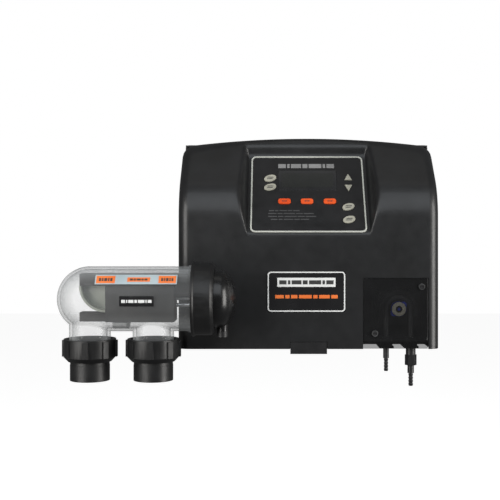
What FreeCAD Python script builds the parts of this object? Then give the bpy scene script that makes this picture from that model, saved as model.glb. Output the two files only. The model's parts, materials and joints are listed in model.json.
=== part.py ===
"""Salt chlorine generator: a wall-hung controller with an acid dosing pump, and its clear in-line cell.

The frame is the object's own: X to the right, Y into the wall, Z up, millimetres. The origin is the
centre of the wall bracket's four screw holes, on the wall's face. Each sub-part is an object of the
document whose sizes are bound to the cells of the Sizes spreadsheet.
"""
import FreeCAD, Part
import math
import os

import Sketcher
from FreeCAD import Rotation, Vector

doc = FreeCAD.newDocument("chlorinator")
sheet = doc.addObject("Spreadsheet::Sheet", "Sizes")


# ---------------------------------------------------------------- sizes bound to the sheet
class Size:
    """A number with the expression that gives it, so that a feature can be bound to the sheet."""

    def __init__(self, value, text):
        self.value = float(value)
        self.text = text

    def __add__(self, other):
        other = as_size(other)
        return Size(self.value + other.value, f"({self.text} + {other.text})")

    def __sub__(self, other):
        other = as_size(other)
        return Size(self.value - other.value, f"({self.text} - {other.text})")

    def __mul__(self, other):
        other = as_size(other)
        return Size(self.value * other.value, f"({self.text} * {other.text})")

    def __truediv__(self, other):
        other = as_size(other)
        return Size(self.value / other.value, f"({self.text} / {other.text})")

    def __radd__(self, other):
        return as_size(other) + self

    def __rsub__(self, other):
        return as_size(other) - self

    def __rmul__(self, other):
        return as_size(other) * self

    def __neg__(self):
        return Size(-self.value, f"(0 - {self.text})")


def as_size(number):
    return number if isinstance(number, Size) else Size(number, f"{float(number):.6f}")


def cos_of(angle):
    return Size(math.cos(math.radians(angle.value)), f"cos({angle.text})")


def sin_of(angle):
    return Size(math.sin(math.radians(angle.value)), f"sin({angle.text})")


class Sizes:
    """The driving dimensions by name, filled from the sheet's rows."""


s = Sizes()


def dimension(name, value, note):
    """One row of the sheet: name, value (with the name as its alias) and what it is."""
    row = dimension.row = getattr(dimension, "row", 0) + 1
    sheet.set(f"A{row}", name)
    sheet.set(f"B{row}", str(value))
    sheet.set(f"C{row}", note)
    sheet.setAlias(f"B{row}", name)
    setattr(s, name, Size(value, f"Sizes.{name}"))


# wall bracket
dimension("bracket_width", 220, "wall bracket, side to side")
dimension("bracket_height", 110, "wall bracket, bottom to top")
dimension("bracket_gauge", 3, "thickness of the bracket's plate")
dimension("screw_spacing_x", 160, "between wall screws, side to side")
dimension("screw_spacing_z", 60, "between wall screws, up and down")
dimension("screw_hole", 6.5, "wall screw hole, diameter")
dimension("hook_width", 40, "hook that carries the controller")
dimension("hook_height", 16, "rise of a hook above its arm")
dimension("hook_spacing", 130, "between the two hooks' centres")
dimension("hook_reach", 12, "hook's outer face from the wall")
# controller housing
dimension("box_width", 414, "rear box, side to side")
dimension("box_depth", 55, "rear box's rim from the wall")
dimension("box_stand_off", 4.5, "rear box's back face from the wall")
dimension("box_bottom", -220, "level of the housing's bottom edge")
dimension("wall", 3, "wall of the mouldings")
dimension("box_corner", 6, "corner radius of the rear box")
dimension("hood_width", 420, "hood, side to side")
dimension("hood_front", 165, "hood's front face from the wall")
dimension("hood_bend_level", -9, "level where the front face starts to lean back")
dimension("hood_bend_radius", 72, "radius of the bend below the slope")
dimension("hood_slope", 46.3, "turn of the hood's face through its bend")
dimension("hood_crown", 11, "rise of the hood's top edge at its middle")
dimension("hood_corner", 22, "radius of the hood's top corners seen from the front")
dimension("hood_edge", 18, "radius of the hood's side edges")
dimension("hood_lap", 0.6, "gap between the hood's rear edge and the box")
dimension("seal_width", 2.4, "width of the hood seal")
# control panel
dimension("panel_tilt", 37, "lean of the control panel from upright, degrees")
dimension("panel_width", 188, "control panel, side to side")
dimension("panel_height", 160, "control panel, along its slope")
dimension("panel_level", -34, "level of the panel's lower edge")
dimension("panel_setback", 1, "panel's lower edge behind the front face")
dimension("panel_corner", 9, "corner radius of the panel")
dimension("panel_plate", 1.6, "thickness of the fascia plate")
dimension("trim_width", 2.6, "width of the trim bead")
dimension("trim_height", 3, "height of the trim bead over the recess floor")
dimension("recess_border", 5, "recess floor beyond the panel")
dimension("recess_draft", 20, "draft of the recess walls, degrees")
dimension("key_height", 1.4, "key's rise over the fascia")
dimension("key_gap", 0.25, "gap round a key")
dimension("oval_long", 20.5, "oval key, long axis")
dimension("oval_short", 13.5, "oval key, short axis")
dimension("oval_lean", 20, "lean of an oval key, degrees")
dimension("bar_long", 20.4, "orange key, long side")
dimension("bar_short", 10.7, "orange key, short side")
dimension("arrow_side", 12.2, "arrow key, side")
dimension("window_width", 97, "display window, side to side")
dimension("window_height", 43, "display window, along the slope")
dimension("badge_width", 126, "front badge, side to side")
dimension("badge_height", 66, "front badge, up and down")
dimension("badge_x", -3.7, "badge's centre, side to side")
dimension("badge_level", -128, "level of the badge's centre")
dimension("badge_gauge", 1, "thickness of the badge")
dimension("board_gauge", 1.6, "thickness of a circuit board")

# hood latch
dimension("latch_width", 60, "latch in the hood's lower edge, side to side")
dimension("notch_height", 11.5, "notch in the hood over the latch")
dimension("latch_drop", 8, "latch's reach below the housing")
dimension("latch_gap", 0.6, "gap round the latch")
dimension("latch_arm", 21, "latch's arm from its face to its bend")
# dosing pump
dimension("pump_x", 146, "pump's axis, side to side")
dimension("pump_level", -157, "level of the pump's axis")
dimension("pump_face", 153, "front of the pump's rotor from the wall")
dimension("track_radius", 24.3, "track that the tube lies against")
dimension("track_wall", 6.5, "wall round the track")
dimension("head_depth", 24, "pump head, front to back")
dimension("tube_radius", 4, "squeeze tube, outside radius")
dimension("tube_bore", 2.4, "squeeze tube, bore radius")
dimension("hub_radius", 11.8, "rotor hub")
dimension("roller_radius", 5.3, "pump roller")
dimension("roller_length", 13, "pump roller, length")
dimension("roller_turn", 40, "angle of the rotor's arm at rest")
dimension("roller_gap", 0.5, "gap between roller and tube")
dimension("pin_radius", 1.5, "roller pin")
dimension("motor_radius", 18.5, "gear motor, radius")
dimension("motor_length", 52, "gear motor, length")
dimension("connector_width", 19, "tube connector, side to side")
dimension("connector_depth", 16, "tube connector, front to back")
dimension("connector_height", 14, "tube connector's block")
dimension("slot_back", 100, "back of the open slots beside the connectors, from the wall")
dimension("barb_radius", 3.7, "hose barb at its ridges")
dimension("barb_root", 2.9, "hose barb between its ridges")
dimension("barb_pitch", 5.2, "between the ridges of a barb")
dimension("stem_length", 17, "plain stem above the left barb")
dimension("stem_radius", 4.65, "plain stem above a barb, radius")
dimension("valve_stem", 13, "plain stem below the check valve")
dimension("valve_length", 28, "check valve body on the right connector")
dimension("valve_radius", 9.6, "check valve body at its widest")
# pump cover
dimension("cover_left", 87, "left edge of the pump cover's opening")
dimension("cover_right", 192, "right edge of the pump cover's opening")
dimension("cover_top", -106, "top edge of the pump cover's opening")
dimension("cover_gauge", 3, "thickness of the pump cover")
dimension("cover_gap", 0.5, "gap round the pump cover")
dimension("cover_bevel", 12, "bevel on the pump cover's lower edge")
dimension("flange", 6, "ledge behind the pump cover")
dimension("screw_head", 5.4, "cover screw head, radius")
dimension("screw_shank", 2, "cover screw shank, radius")
dimension("screw_inset_x", 15, "cover screws from the cover's ends")
dimension("screw_inset_z", 14, "upper cover screw below the cover's top")
dimension("screw_rise", 25, "lower cover screw above the housing's bottom")
# cell
dimension("cell_setback", 235, "cell's axis from the wall")
dimension("cell_level", -134, "level of the cell's axis")
dimension("cell_x", -337, "outlet port's axis, side to side")
dimension("port_spacing", 97, "between the two ports' axes")
dimension("shell_radius", 49.5, "clear housing, outside radius")
dimension("shell_wall", 4, "clear housing, wall")
dimension("shell_length", 171, "outlet port's axis to the housing's open end")
dimension("thread_length", 19, "threaded end under the locking ring")
dimension("thread_rise", 1.8, "threaded end, rise over the housing")
dimension("port_radius", 31.4, "port neck, outside radius")
dimension("port_bore", 26.5, "port neck, bore radius")
dimension("port_thread", 33.8, "port thread, outside radius")
dimension("port_drop", 84, "cell's axis to a port's end face")
dimension("port_thread_length", 20, "threaded length of a port")
# locking ring and cap
dimension("ring_wall", 3.8, "locking ring, wall over the thread")
dimension("ring_bead", 2.3, "bead round the locking ring's open end, rise")
dimension("ring_start", 157, "outlet port's axis to the ring's open end")
dimension("ring_length", 34, "locking ring, length")
dimension("ring_gap", 0.4, "gap inside the locking ring")
dimension("cap_step", 1.5, "end cap's outside under the housing's bore, radius")
dimension("cap_straight", 6.5, "straight length of the cap beyond the ring")
dimension("cap_dome", 25.5, "rise of the cap's dome")
dimension("cap_wall", 3.5, "end cap, wall")
dimension("cap_flange", 6, "cap flange under the locking ring, thickness")
dimension("cap_plug", 14, "plug of the cap inside the housing")
dimension("plug_gap", 0.3, "gap between plug and housing")
dimension("seal_section", 1.7, "section radius of the O-rings")
dimension("outlet_radius", 8.3, "cable outlet under the cap, radius")
dimension("outlet_drop", 58.5, "cell's axis to the cable outlet's end")
dimension("cable_bore", 4.2, "cable hole of a gland, radius")
# unions
dimension("pipe_radius", 24.25, "socket for the pipe, radius")
dimension("pipe_depth", 34, "depth of the pipe socket")
dimension("spigot_radius", 30.15, "outside of the union tail, radius")
dimension("tail_bore", 21.5, "waterway of the union tail, radius")
dimension("spigot_length", 24, "length of a union tail that a fitting goes over")
dimension("spigot_relief", 0.35, "relief of the tail under the nut's lip")
dimension("tail_bottom", -258, "level of the union tails' lower ends")
dimension("tail_flange", 33.2, "flange of the union tail, radius")
dimension("tail_flange_height", 6, "flange of the union tail, thickness")
dimension("nut_radius", 39.6, "union nut between its ribs, radius")
dimension("nut_rib", 42, "union nut over its ribs, radius")
dimension("nut_height", 34, "union nut, length")
dimension("nut_lip", 5, "lip of the union nut")
dimension("nut_gap", 0.4, "gap inside the union nut")
dimension("nut_ribs", 8, "number of ribs on a union nut")
dimension("rib_width", 9, "rib of a union nut, width")
# electrode
dimension("divider", 21, "block between the ports, along the cell")
dimension("pack_start", 27, "outlet port's axis to the electrode's near end")
dimension("pack_length", 104, "electrode plates, length")
dimension("plate_gauge", 1, "electrode plate, thickness")
dimension("plate_pitch", 6, "between electrode plates")
dimension("plate_count", 7, "number of electrode plates")
dimension("frame_gauge", 2.5, "wall of the electrode frame")
dimension("frame_top", 39, "frame's top above the cell's axis")
dimension("frame_bottom", 34, "frame's bottom below the cell's axis")
dimension("frame_depth", 46, "frame, front to back")
dimension("vane_gauge", 3.5, "flow deflector, thickness")
dimension("vane_radius", 37, "flow deflector, inside radius of its curve")
dimension("vane_web", 2.5, "flow deflector, rib along its middle")
dimension("vane_width", 36, "flow deflector, front to back")
dimension("terminal_radius", 3, "titanium terminal rod, radius")
dimension("terminal_spacing", 9.5, "between terminal rods")
# inside the controller
dimension("toroid_radius", 50, "transformer, outside radius")
dimension("toroid_bore", 16, "transformer, hole radius")
dimension("toroid_height", 38, "transformer, height")
dimension("toroid_x", -130, "transformer's axis, side to side")
dimension("toroid_level", -150, "level of the transformer's axis")
dimension("board_width", 215, "main board, side to side")
dimension("board_height", 140, "main board, up and down")
dimension("board_x", -75, "main board's centre, side to side")
dimension("board_level", 20, "level of the main board's centre")
dimension("board_post", 12, "main board above the rear box's wall")
dimension("entry_rise", 27, "cable entry's ceiling above the housing's bottom")
dimension("entry_left", -190, "left side of the cable entry")
dimension("entry_right", 50, "right side of the cable entry")
dimension("entry_depth", 55, "cable entry, front to back")
dimension("entry_back", 75, "back of the cable entry from the wall")
dimension("gland_radius", 11, "cable gland nut, radius")
doc.recompute()

kept = []  # the sub-parts, in the order they are made


# ---------------------------------------------------------------- ways to make a sub-part
def bind(thing, prop, size):
    thing.setExpression(prop, as_size(size).text)
    return thing


def place(thing, x=0, y=0, z=0, turn=None):
    """Puts a body or primitive at bound coordinates. turn is (axis, bound angle)."""
    if turn:
        axis, angle = turn
        thing.Placement = FreeCAD.Placement(Vector(), Rotation(axis, as_size(angle).value))
        bind(thing, "Placement.Rotation.Angle", angle)
    for name, size in (("x", x), ("y", y), ("z", z)):
        bind(thing, f"Placement.Base.{name}", size)
    return thing


def keep(thing, label):
    thing.Label = label
    kept.append(thing)
    return thing


def block(name, low, dims):
    """A box from its lowest corner and its three lengths."""
    box = doc.addObject("Part::Box", name)
    for prop, size in zip(("Length", "Width", "Height"), dims):
        bind(box, prop, size)
    return place(box, *low)


TURNS = {"+z": None, "-z": (Vector(1, 0, 0), 180), "+x": (Vector(0, 1, 0), 90),
         "-y": (Vector(1, 0, 0), 90), "+y": (Vector(1, 0, 0), -90)}


def rod(name, base, radius, length, way="+z"):
    """A cylinder that starts at base and runs the given way."""
    cylinder = doc.addObject("Part::Cylinder", name)
    bind(cylinder, "Radius", radius)
    bind(cylinder, "Height", length)
    return place(cylinder, *base, turn=TURNS[way])


def cut(name, base, *tools):
    """base less the tools."""
    taken = tools[0] if len(tools) == 1 else join(name + "_tools", *tools)
    made = doc.addObject("Part::Cut", name)
    made.Base, made.Tool = base, taken
    return made


def join(name, *pieces):
    made = doc.addObject("Part::MultiFuse", name)
    made.Shapes = list(pieces)
    made.Refine = True
    return made


def group(name, *pieces):
    """Separate solids kept side by side in one sub-part."""
    made = doc.addObject("Part::Compound", name)
    made.Links = list(pieces)
    return made


def new_body(name):
    return doc.addObject("PartDesign::Body", name)


def base_plane(body, role):
    return next(f for f in body.Origin.OriginFeatures if f.Role == role)


def draw(body, role, name, *outlines):
    """A sketch on one of the body's base planes. An outline is a list of corners (x, y) or
    (x, y, radius), where a radius makes the side to the next corner an arc, positive when it turns
    to the left, or it is one circle as (x, y, radius) under the key "circle"."""
    sketch = body.newObject("Sketcher::SketchObject", name)
    sketch.AttachmentSupport = [(base_plane(body, role), "")]
    sketch.MapMode = "FlatFace"
    for outline in outlines:
        if isinstance(outline, dict):
            draw_circle(sketch, *outline["circle"])
        else:
            draw_sides(sketch, [tuple(as_size(v) for v in corner) for corner in outline])
    return sketch


def draw_circle(sketch, x, y, radius):
    x, y, radius = as_size(x), as_size(y), as_size(radius)
    side = sketch.addGeometry(Part.Circle(Vector(x.value, y.value, 0), Vector(0, 0, 1), radius.value))
    tie(sketch, "Radius", (side,), radius)
    tie(sketch, "DistanceX", (-1, 1, side, 3), x)
    tie(sketch, "DistanceY", (-1, 1, side, 3), y)


def tie(sketch, kind, where, size):
    number = sketch.addConstraint(Sketcher.Constraint(kind, *where, size.value))
    sketch.setExpression(f"Constraints[{number}]", size.text)


def draw_sides(sketch, corners):
    sides, first_end, last_end = [], [], []
    for here, after in zip(corners, corners[1:] + corners[:1]):
        start = Vector(here[0].value, here[1].value, 0)
        end = Vector(after[0].value, after[1].value, 0)
        if len(here) == 2:
            sides.append(sketch.addGeometry(Part.LineSegment(start, end)))
            first_end.append(1)
            last_end.append(2)
            continue
        radius, left = abs(here[2].value), here[2].value > 0
        across = end - start
        rise = math.sqrt(max(radius ** 2 - across.Length ** 2 / 4, 0))
        normal = Vector(-across.y, across.x, 0).normalize()
        centre = (start + end) / 2 + normal * (rise if left else -rise)
        begin, finish = (start, end) if left else (end, start)
        circle = Part.Circle(centre, Vector(0, 0, 1), radius)
        sides.append(sketch.addGeometry(
            Part.ArcOfCircle(circle, circle.parameter(begin), circle.parameter(finish))))
        first_end.append(1 if left else 2)
        last_end.append(2 if left else 1)
        size = here[2] if left else -here[2]
        tie(sketch, "Radius", (sides[-1],), size)
    count = len(sides)
    for n in range(count):
        after = (n + 1) % count
        sketch.addConstraint(Sketcher.Constraint(
            "Coincident", sides[n], last_end[n], sides[after], first_end[after]))
        tie(sketch, "DistanceX", (-1, 1, sides[n], first_end[n]), corners[n][0])
        tie(sketch, "DistanceY", (-1, 1, sides[n], first_end[n]), corners[n][1])


def pad(body, sketch, length, reverse=False, middle=False):
    made = body.newObject("PartDesign::Pad", sketch.Name + "_pad")
    made.Profile = sketch
    bind(made, "Length", length)
    made.Reversed, made.Midplane = reverse, middle
    return made


def pocket(body, sketch, length, reverse=False, middle=False):
    made = body.newObject("PartDesign::Pocket", sketch.Name + "_pocket")
    made.Profile = sketch
    bind(made, "Length", length)
    made.Reversed, made.Midplane = reverse, middle
    return made


def revolve(body, sketch, axis):
    made = body.newObject("PartDesign::Revolution", sketch.Name + "_turned")
    made.Profile = sketch
    made.ReferenceAxis = (sketch, [axis])
    made.Angle = 360
    return made


def polar(body, feature, axis_role, count):
    made = body.newObject("PartDesign::PolarPattern", feature.Name + "_pattern")
    made.Originals = [feature]
    made.Axis = (base_plane(body, axis_role), [""])
    made.Angle = 360
    bind(made, "Occurrences", count)
    body.Tip = made
    return made


def round_edges(body, feature, radius, wanted):
    """Rounds the feature's edges that the test wants."""
    doc.recompute()
    names = [f"Edge{n + 1}" for n, edge in enumerate(feature.Shape.Edges) if wanted(edge)]
    made = body.newObject("PartDesign::Fillet", feature.Name + "_rounded")
    made.Base = (feature, names)
    bind(made, "Radius", radius)
    return made


def turned(name, axis, corners):
    """A turned piece: its half section's corners (x, y), spun about the sheet's V_Axis or H_Axis."""
    body = new_body(name)
    revolve(body, draw(body, "XZ_Plane", name + "_section", corners), axis)
    return body


def length_of(edge, axis):
    return getattr(edge.BoundBox, axis + "Length")


SLIVER = 0.01  # mm, under which an edge is flat along an axis


def rectangle(x0, z0, x1, z1):
    return [(x0, z0), (x1, z0), (x1, z1), (x0, z1)]


def rounded(x0, z0, x1, z1, radius):
    """A rectangle with round corners, anticlockwise from its lower left."""
    return [(x0 + radius, z0), (x1 - radius, z0, radius), (x1, z0 + radius), (x1, z1 - radius, radius),
            (x1 - radius, z1), (x0 + radius, z1, radius), (x0, z1 - radius), (x0, z0 + radius, radius)]


def circle(x, z, radius):
    return {"circle": (x, z, radius)}


PAST = 2  # mm that a cutting tool reaches past the face it cuts

# ---------------------------------------------------------------- places worked out from the sizes
half_hood = s.hood_width / 2
half_box = s.box_width / 2
bend_y = s.hood_bend_radius * (1 - cos_of(s.hood_slope)) - s.hood_front   # upper end of the bend
bend_z = s.hood_bend_level + s.hood_bend_radius * sin_of(s.hood_slope)
slope_rise = cos_of(s.hood_slope) / sin_of(s.hood_slope)                  # rise per mm towards the wall
hood_back = s.box_depth + s.hood_lap          # hood's rear edge from the wall
crown_level = bend_z + (0 - hood_back - bend_y) * slope_rise
box_top = crown_level - s.hood_crown
box_back = s.box_stand_off + s.wall          # inner face of the rear box's back wall, from the wall
floor_top = s.box_bottom + s.wall
floor_front = s.hood_front - s.wall - 1      # front edge of the rear box's floor, from the wall
floor_half = half_hood - s.wall - 1
hook_level = s.screw_spacing_z / 6           # top of a hook's arm
hook_slot = s.hook_height + 2                # height that the box lifts to come off its hooks
panel_half = s.panel_width / 2
cover_floor_front = s.hood_front - s.cover_bevel * 0.5 - s.cover_gauge - s.cover_gap
tube_plane = s.pump_face - 8                 # tube's plane from the wall
leg_reach = s.track_radius - s.tube_radius - 0.3
head_back = s.pump_face - s.head_depth + s.wall
notch_half = s.latch_width / 2
latch_pivot_y = s.hood_front - s.latch_arm - s.latch_gap
latch_pivot_z = s.box_bottom - 3


# ---------------------------------------------------------------- wall bracket and rear box
def make_wall_bracket():
    body = new_body("WallBracket")
    half_x, half_z = s.bracket_width / 2, s.bracket_height / 2
    holes = [circle(side * s.screw_spacing_x / 2, end * s.screw_spacing_z / 2, s.screw_hole / 2)
             for side in (-1, 1) for end in (-1, 1)]
    pad(body, draw(body, "XZ_Plane", "BracketPlate", rectangle(-half_x, -half_z, half_x, half_z), *holes),
        s.bracket_gauge)
    gauge, reach = s.bracket_gauge, s.hook_reach
    low = hook_level - gauge
    hook = [(-gauge / 2, low), (-reach, low), (-reach, low + s.hook_height),
            (gauge - reach, low + s.hook_height), (gauge - reach, hook_level), (-gauge / 2, hook_level)]
    pad(body, draw(body, "YZ_Plane", "Hooks", hook), s.hook_spacing + s.hook_width, middle=True)
    between = rectangle(-reach - PAST, low - PAST, -gauge, low + s.hook_height + PAST)
    pocket(body, draw(body, "YZ_Plane", "BetweenHooks", between), s.hook_spacing - s.hook_width,
           middle=True)
    keep(body, "wall_bracket")


def make_rear_box():
    """Back wall, rim and the floor that the glands and pump stand on."""
    body = new_body("RearBox")
    slots = [rectangle(side * s.hook_spacing / 2 - s.hook_width / 2 - 1,
                       hook_level - hook_slot - s.bracket_gauge,
                       side * s.hook_spacing / 2 + s.hook_width / 2 + 1, hook_level) for side in (-1, 1)]
    outer = rounded(-half_box, s.box_bottom, half_box, box_top, s.box_corner)
    pad(body, draw(body, "XZ_Plane", "BoxOutline", outer), s.box_depth)
    inner = rectangle(s.wall - half_box, floor_top, half_box - s.wall, box_top - s.wall)
    pocket(body, draw(body, "XZ_Plane", "BoxInside", inner), s.box_depth + PAST, reverse=True)
    back = draw(body, "XZ_Plane", "BoxBack", rectangle(1 - half_box, s.box_bottom + 1, half_box - 1,
                                                       box_top - 1),
                *slots)
    pad(body, back, box_back)
    stand_off = draw(body, "XZ_Plane", "StandOff", rectangle(-half_box - PAST, s.box_bottom - PAST,
                                                             half_box + PAST, box_top + PAST))
    pocket(body, stand_off, s.box_stand_off, reverse=True)

    floor = block("BoxFloor", (-floor_half, -floor_front, s.box_bottom),
                  (2 * floor_half, floor_front - s.box_stand_off - 1, s.wall))
    cover_clear = block("FloorUnderCover", (s.cover_left - 3, -s.hood_front, s.box_bottom - PAST),
                        (s.cover_right - s.cover_left + 6, s.hood_front - s.slot_back, s.wall + 2 * PAST))
    tongues = [block("ConnectorTongue", (x - s.connector_width / 2 - 2, -cover_floor_front, s.box_bottom),
                     (s.connector_width + 4, cover_floor_front - s.slot_back + 1,
                      s.wall)) for x in leg_places()]
    entry = block("CableEntry", (s.entry_left - s.wall, -s.entry_back - s.entry_depth - s.wall,
                                 s.box_bottom),
                  (s.entry_right - s.entry_left + 2 * s.wall, s.entry_depth + 2 * s.wall,
                   s.entry_rise + s.wall))
    entry_space = block("CableEntrySpace", (s.entry_left, -s.entry_back - s.entry_depth,
                                            s.box_bottom - PAST),
                        (s.entry_right - s.entry_left, s.entry_depth, s.entry_rise + PAST))
    latch_clear = block("FloorAtLatch", (-notch_half - 1, -s.hood_front, s.box_bottom - PAST),
                        (s.latch_width + 2, 5.5, s.wall + 2 * PAST))
    hole_tools = [rod("Hole_" + name, (x, y, s.box_bottom - PAST), radius, s.wall + s.entry_rise + 2 * PAST)
                  for name, x, y, radius in floor_holes()]
    lugs = []
    for side in (-1, 1):
        lug = block("LatchLug", (side * (notch_half - 3) - 1.5, -latch_pivot_y - 4, s.box_bottom - 7),
                    (3, 8, 8))
        lugs.append(lug)
    pivot = rod("LatchPivotHole", (-s.latch_width, -latch_pivot_y, latch_pivot_z), 2.3, 2 * s.latch_width,
                "+x")
    posts = [rod("BoardPost", (x, -s.box_stand_off - 1, z), 3.5, s.wall + s.board_post - 1, "-y")
             for x, z in main_board_screws()]
    opened = join("FloorOpened", cut("FloorCut", floor, cover_clear, latch_clear), entry, *tongues)
    whole = join("RearBoxWhole", body, opened, *lugs, *posts)
    post_bores = [rod("BoardPostBore", (x, -box_back - 2, z), 1.3, s.board_post, "-y")
                  for x, z in main_board_screws()]
    keep(cut("RearBoxCut", whole, entry_space, pivot, *hole_tools, *post_bores), "rear_box")


def main_board_screws():
    """Centres of the main board's four screws."""
    return [(s.board_x + side * (s.board_width / 2 - 6), s.board_level + end * (s.board_height / 2 - 6))
            for side in (-1, 1) for end in (-1, 1)]


def gland_places():
    """Name, x and y of the things in the floor, and the radius of their holes."""
    return [("mains", -165, -105, 7.5), ("cell", -120, -105, 7.5), ("probe_1", -72, -105, 5),
            ("probe_2", -46, -105, 5), ("outlet", 20, -100, 17.5)]


def floor_holes():
    legs = [(name, x, -tube_plane, radius) for name, x, radius in zip(("left_leg", "right_leg"),
                                                                      leg_places(), (4.85, 6))]
    return gland_places() + legs


def leg_places():
    """Where the squeeze tube's two legs stand, side to side."""
    return (s.pump_x - leg_reach, s.pump_x + leg_reach)


# ---------------------------------------------------------------- hood
def panel_frame(thing, z=0):
    """Places a piece drawn flat, x across and y up the slope, on the control panel."""
    lean = 90 - s.panel_tilt
    place(thing, 0, s.panel_setback - s.hood_front - z * cos_of(s.panel_tilt),
          s.panel_level + z * sin_of(s.panel_tilt), turn=(Vector(1, 0, 0), lean))
    return thing


def recess_tool(name, spread):
    """The recess as a solid, larger all round by spread."""
    body = new_body(name)
    side = panel_half + s.recess_border + spread
    sketch = draw(body, "XY_Plane", name + "_floor", rectangle(-side, -60, side,
                                                               s.panel_height + s.recess_border + spread))
    made = pad(body, sketch, 90)
    bind(made, "TaperAngle", s.recess_draft)
    return panel_frame(body, -as_size(spread))


def hood_solid(name, inset):
    """The hood's form as a solid, smaller by inset."""
    profile = new_body(name + "Profile")
    top = crown_level - inset / sin_of(s.hood_slope)
    bend = s.hood_bend_radius - inset
    bend_end = (s.hood_bend_radius - s.hood_front - bend * cos_of(s.hood_slope),
                s.hood_bend_level + bend * sin_of(s.hood_slope))
    if inset.value == 0:
        back = [(-hood_back, top), (-hood_back, s.box_bottom)]
    else:
        lip = hood_back + inset
        back = [(-lip, top - inset * slope_rise), (-lip, box_top - inset), (PAST - hood_back,
                                                                            box_top - inset),
                (PAST - hood_back, s.box_bottom - PAST)]
    bottom = s.box_bottom - (PAST if inset.value else 0)
    side = [(inset - s.hood_front, bottom), (inset - s.hood_front, s.hood_bend_level, -bend),
            bend_end] + back
    solid = pad(profile, draw(profile, "YZ_Plane", name + "Side", side), s.hood_width - 2 * inset,
                middle=True)
    if inset.value == 0:
        # the front, bend and slope run into each other down both sides
        round_edges(profile, solid, s.hood_edge,
                    lambda edge: length_of(edge, "X") < SLIVER and length_of(edge, "Z") > 1
                    and edge.BoundBox.YMin < -hood_back.value - 1)

    front = new_body(name + "Front")
    half, corner = half_hood - inset, s.hood_corner - inset
    chord = half - corner
    crown = (chord * chord + s.hood_crown * s.hood_crown) / (2 * s.hood_crown)
    outline = [(-half, bottom), (half, bottom), (half, box_top - s.hood_corner, corner), (chord,
                                                                                          box_top - inset,
                                                                                          crown),
               (-chord, box_top - inset, corner), (-half, box_top - s.hood_corner)]
    pad(front, draw(front, "XZ_Plane", name + "Outline", outline), s.hood_front + PAST)
    both = doc.addObject("Part::Common", name)
    both.Base, both.Tool = profile, front
    return both


def make_hood():
    outer = hood_solid("HoodOuter", as_size(0))
    inner = hood_solid("HoodInner", s.wall)
    inside = cut("HoodInside", inner, recess_tool("RecessWall", s.wall))
    opening = block("CoverOpening", (s.cover_left, -s.hood_front - PAST, s.box_bottom - PAST),
                    (s.cover_right - s.cover_left, s.wall + PAST + 1, s.cover_top - s.box_bottom + PAST))
    notch = block("LatchNotch", (-notch_half, -s.hood_front - PAST, s.box_bottom - PAST),
                  (s.latch_width, s.wall + PAST + 3, s.notch_height + PAST))
    window = new_body("PanelOpening")
    pad(window, draw(window, "XY_Plane", "PanelOpeningFloor",
                     rounded(-panel_half + 10, 10, panel_half - 10, s.panel_height - 10, 6)),
        3 * s.wall, middle=True)
    panel_frame(window)
    ledge = block("Ledge", (s.cover_left - s.flange, s.wall - s.hood_front,
                            s.box_bottom + s.cover_bevel + 5),
                  (s.cover_right - s.cover_left + 2 * s.flange, s.wall,
                   s.cover_top - s.box_bottom - s.cover_bevel
                   - 5 + s.flange))
    ledge_inside = block("LedgeInside", (s.cover_left + s.flange, -s.hood_front, s.box_bottom - PAST),
                         (s.cover_right - s.cover_left - 2 * s.flange, 3 * s.wall,
                          s.cover_top - s.box_bottom - s.flange + PAST))
    frame = cut("LedgeFrame", ledge, ledge_inside)
    bosses = [block("ScrewTab", (low, s.wall - s.hood_front, z - s.flange), (high - low, 2.5 * s.wall,
                                                                             2 * s.flange))
              for low, high, z in screw_tabs()]
    bores = [rod("ScrewBore", (x, -s.hood_front, z), s.screw_shank, 5 * s.wall, "+y") for x,
             z in cover_screws()]
    posts = [panel_post("HoodPost", x, y, 3.5, -s.wall, 8) for x, y in board_posts()]
    post_bores = [panel_post("HoodPostBore", x, y, 1.3, -s.wall - 2, 8) for x, y in board_posts()]
    shell = cut("HoodShell", outer, recess_tool("Recess", as_size(0)), inside)
    whole = join("HoodWhole", cut("HoodOpened", shell, opening, notch, window), frame, *bosses, *posts)
    keep(cut("HoodDone", whole, *bores, *post_bores), "hood")


def cover_screws():
    """Centres of the pump cover's two screws."""
    return [(s.cover_right - s.screw_inset_x + 4, s.cover_top - s.screw_inset_z),
            (s.cover_left + s.screw_inset_x + 4, s.box_bottom + s.screw_rise)]


def screw_tabs():
    """The two tabs behind the cover's screws: left and right ends, level."""
    (right_x, upper), (left_x, lower) = cover_screws()
    return [(right_x - s.flange, s.cover_right + s.flange, upper),
            (s.cover_left - s.flange, left_x + s.flange, lower)]


def board_posts():
    """Centres of the control board's posts on the panel."""
    across = panel_half - 6
    return [(side * across, y) for side in (-1, 1) for y in (as_size(18), s.panel_height - 18)]


def panel_post(name, x, y, radius, top, length):
    """A rod behind the panel, its top end at the given height over the recess floor."""
    body = new_body(name)
    pad(body, draw(body, "XY_Plane", name + "_end", circle(x, y, radius)), length, reverse=True)
    return panel_frame(body, as_size(top))


def make_hood_seal():
    body = new_body("HoodSeal")
    outer = rectangle(-half_box + 0.3, floor_top, half_box - 0.3, box_top - 0.3)
    inner = rectangle(s.seal_width - half_box, floor_top - PAST, half_box - s.seal_width,
                      box_top - s.seal_width)
    pad(body, draw(body, "XZ_Plane", "SealOutline", outer), s.hood_lap - 0.1)
    pocket(body, draw(body, "XZ_Plane", "SealInside", inner), s.hood_lap + PAST, reverse=True)
    place(body, 0, -s.box_depth, 0)
    keep(body, "hood_seal")


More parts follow.
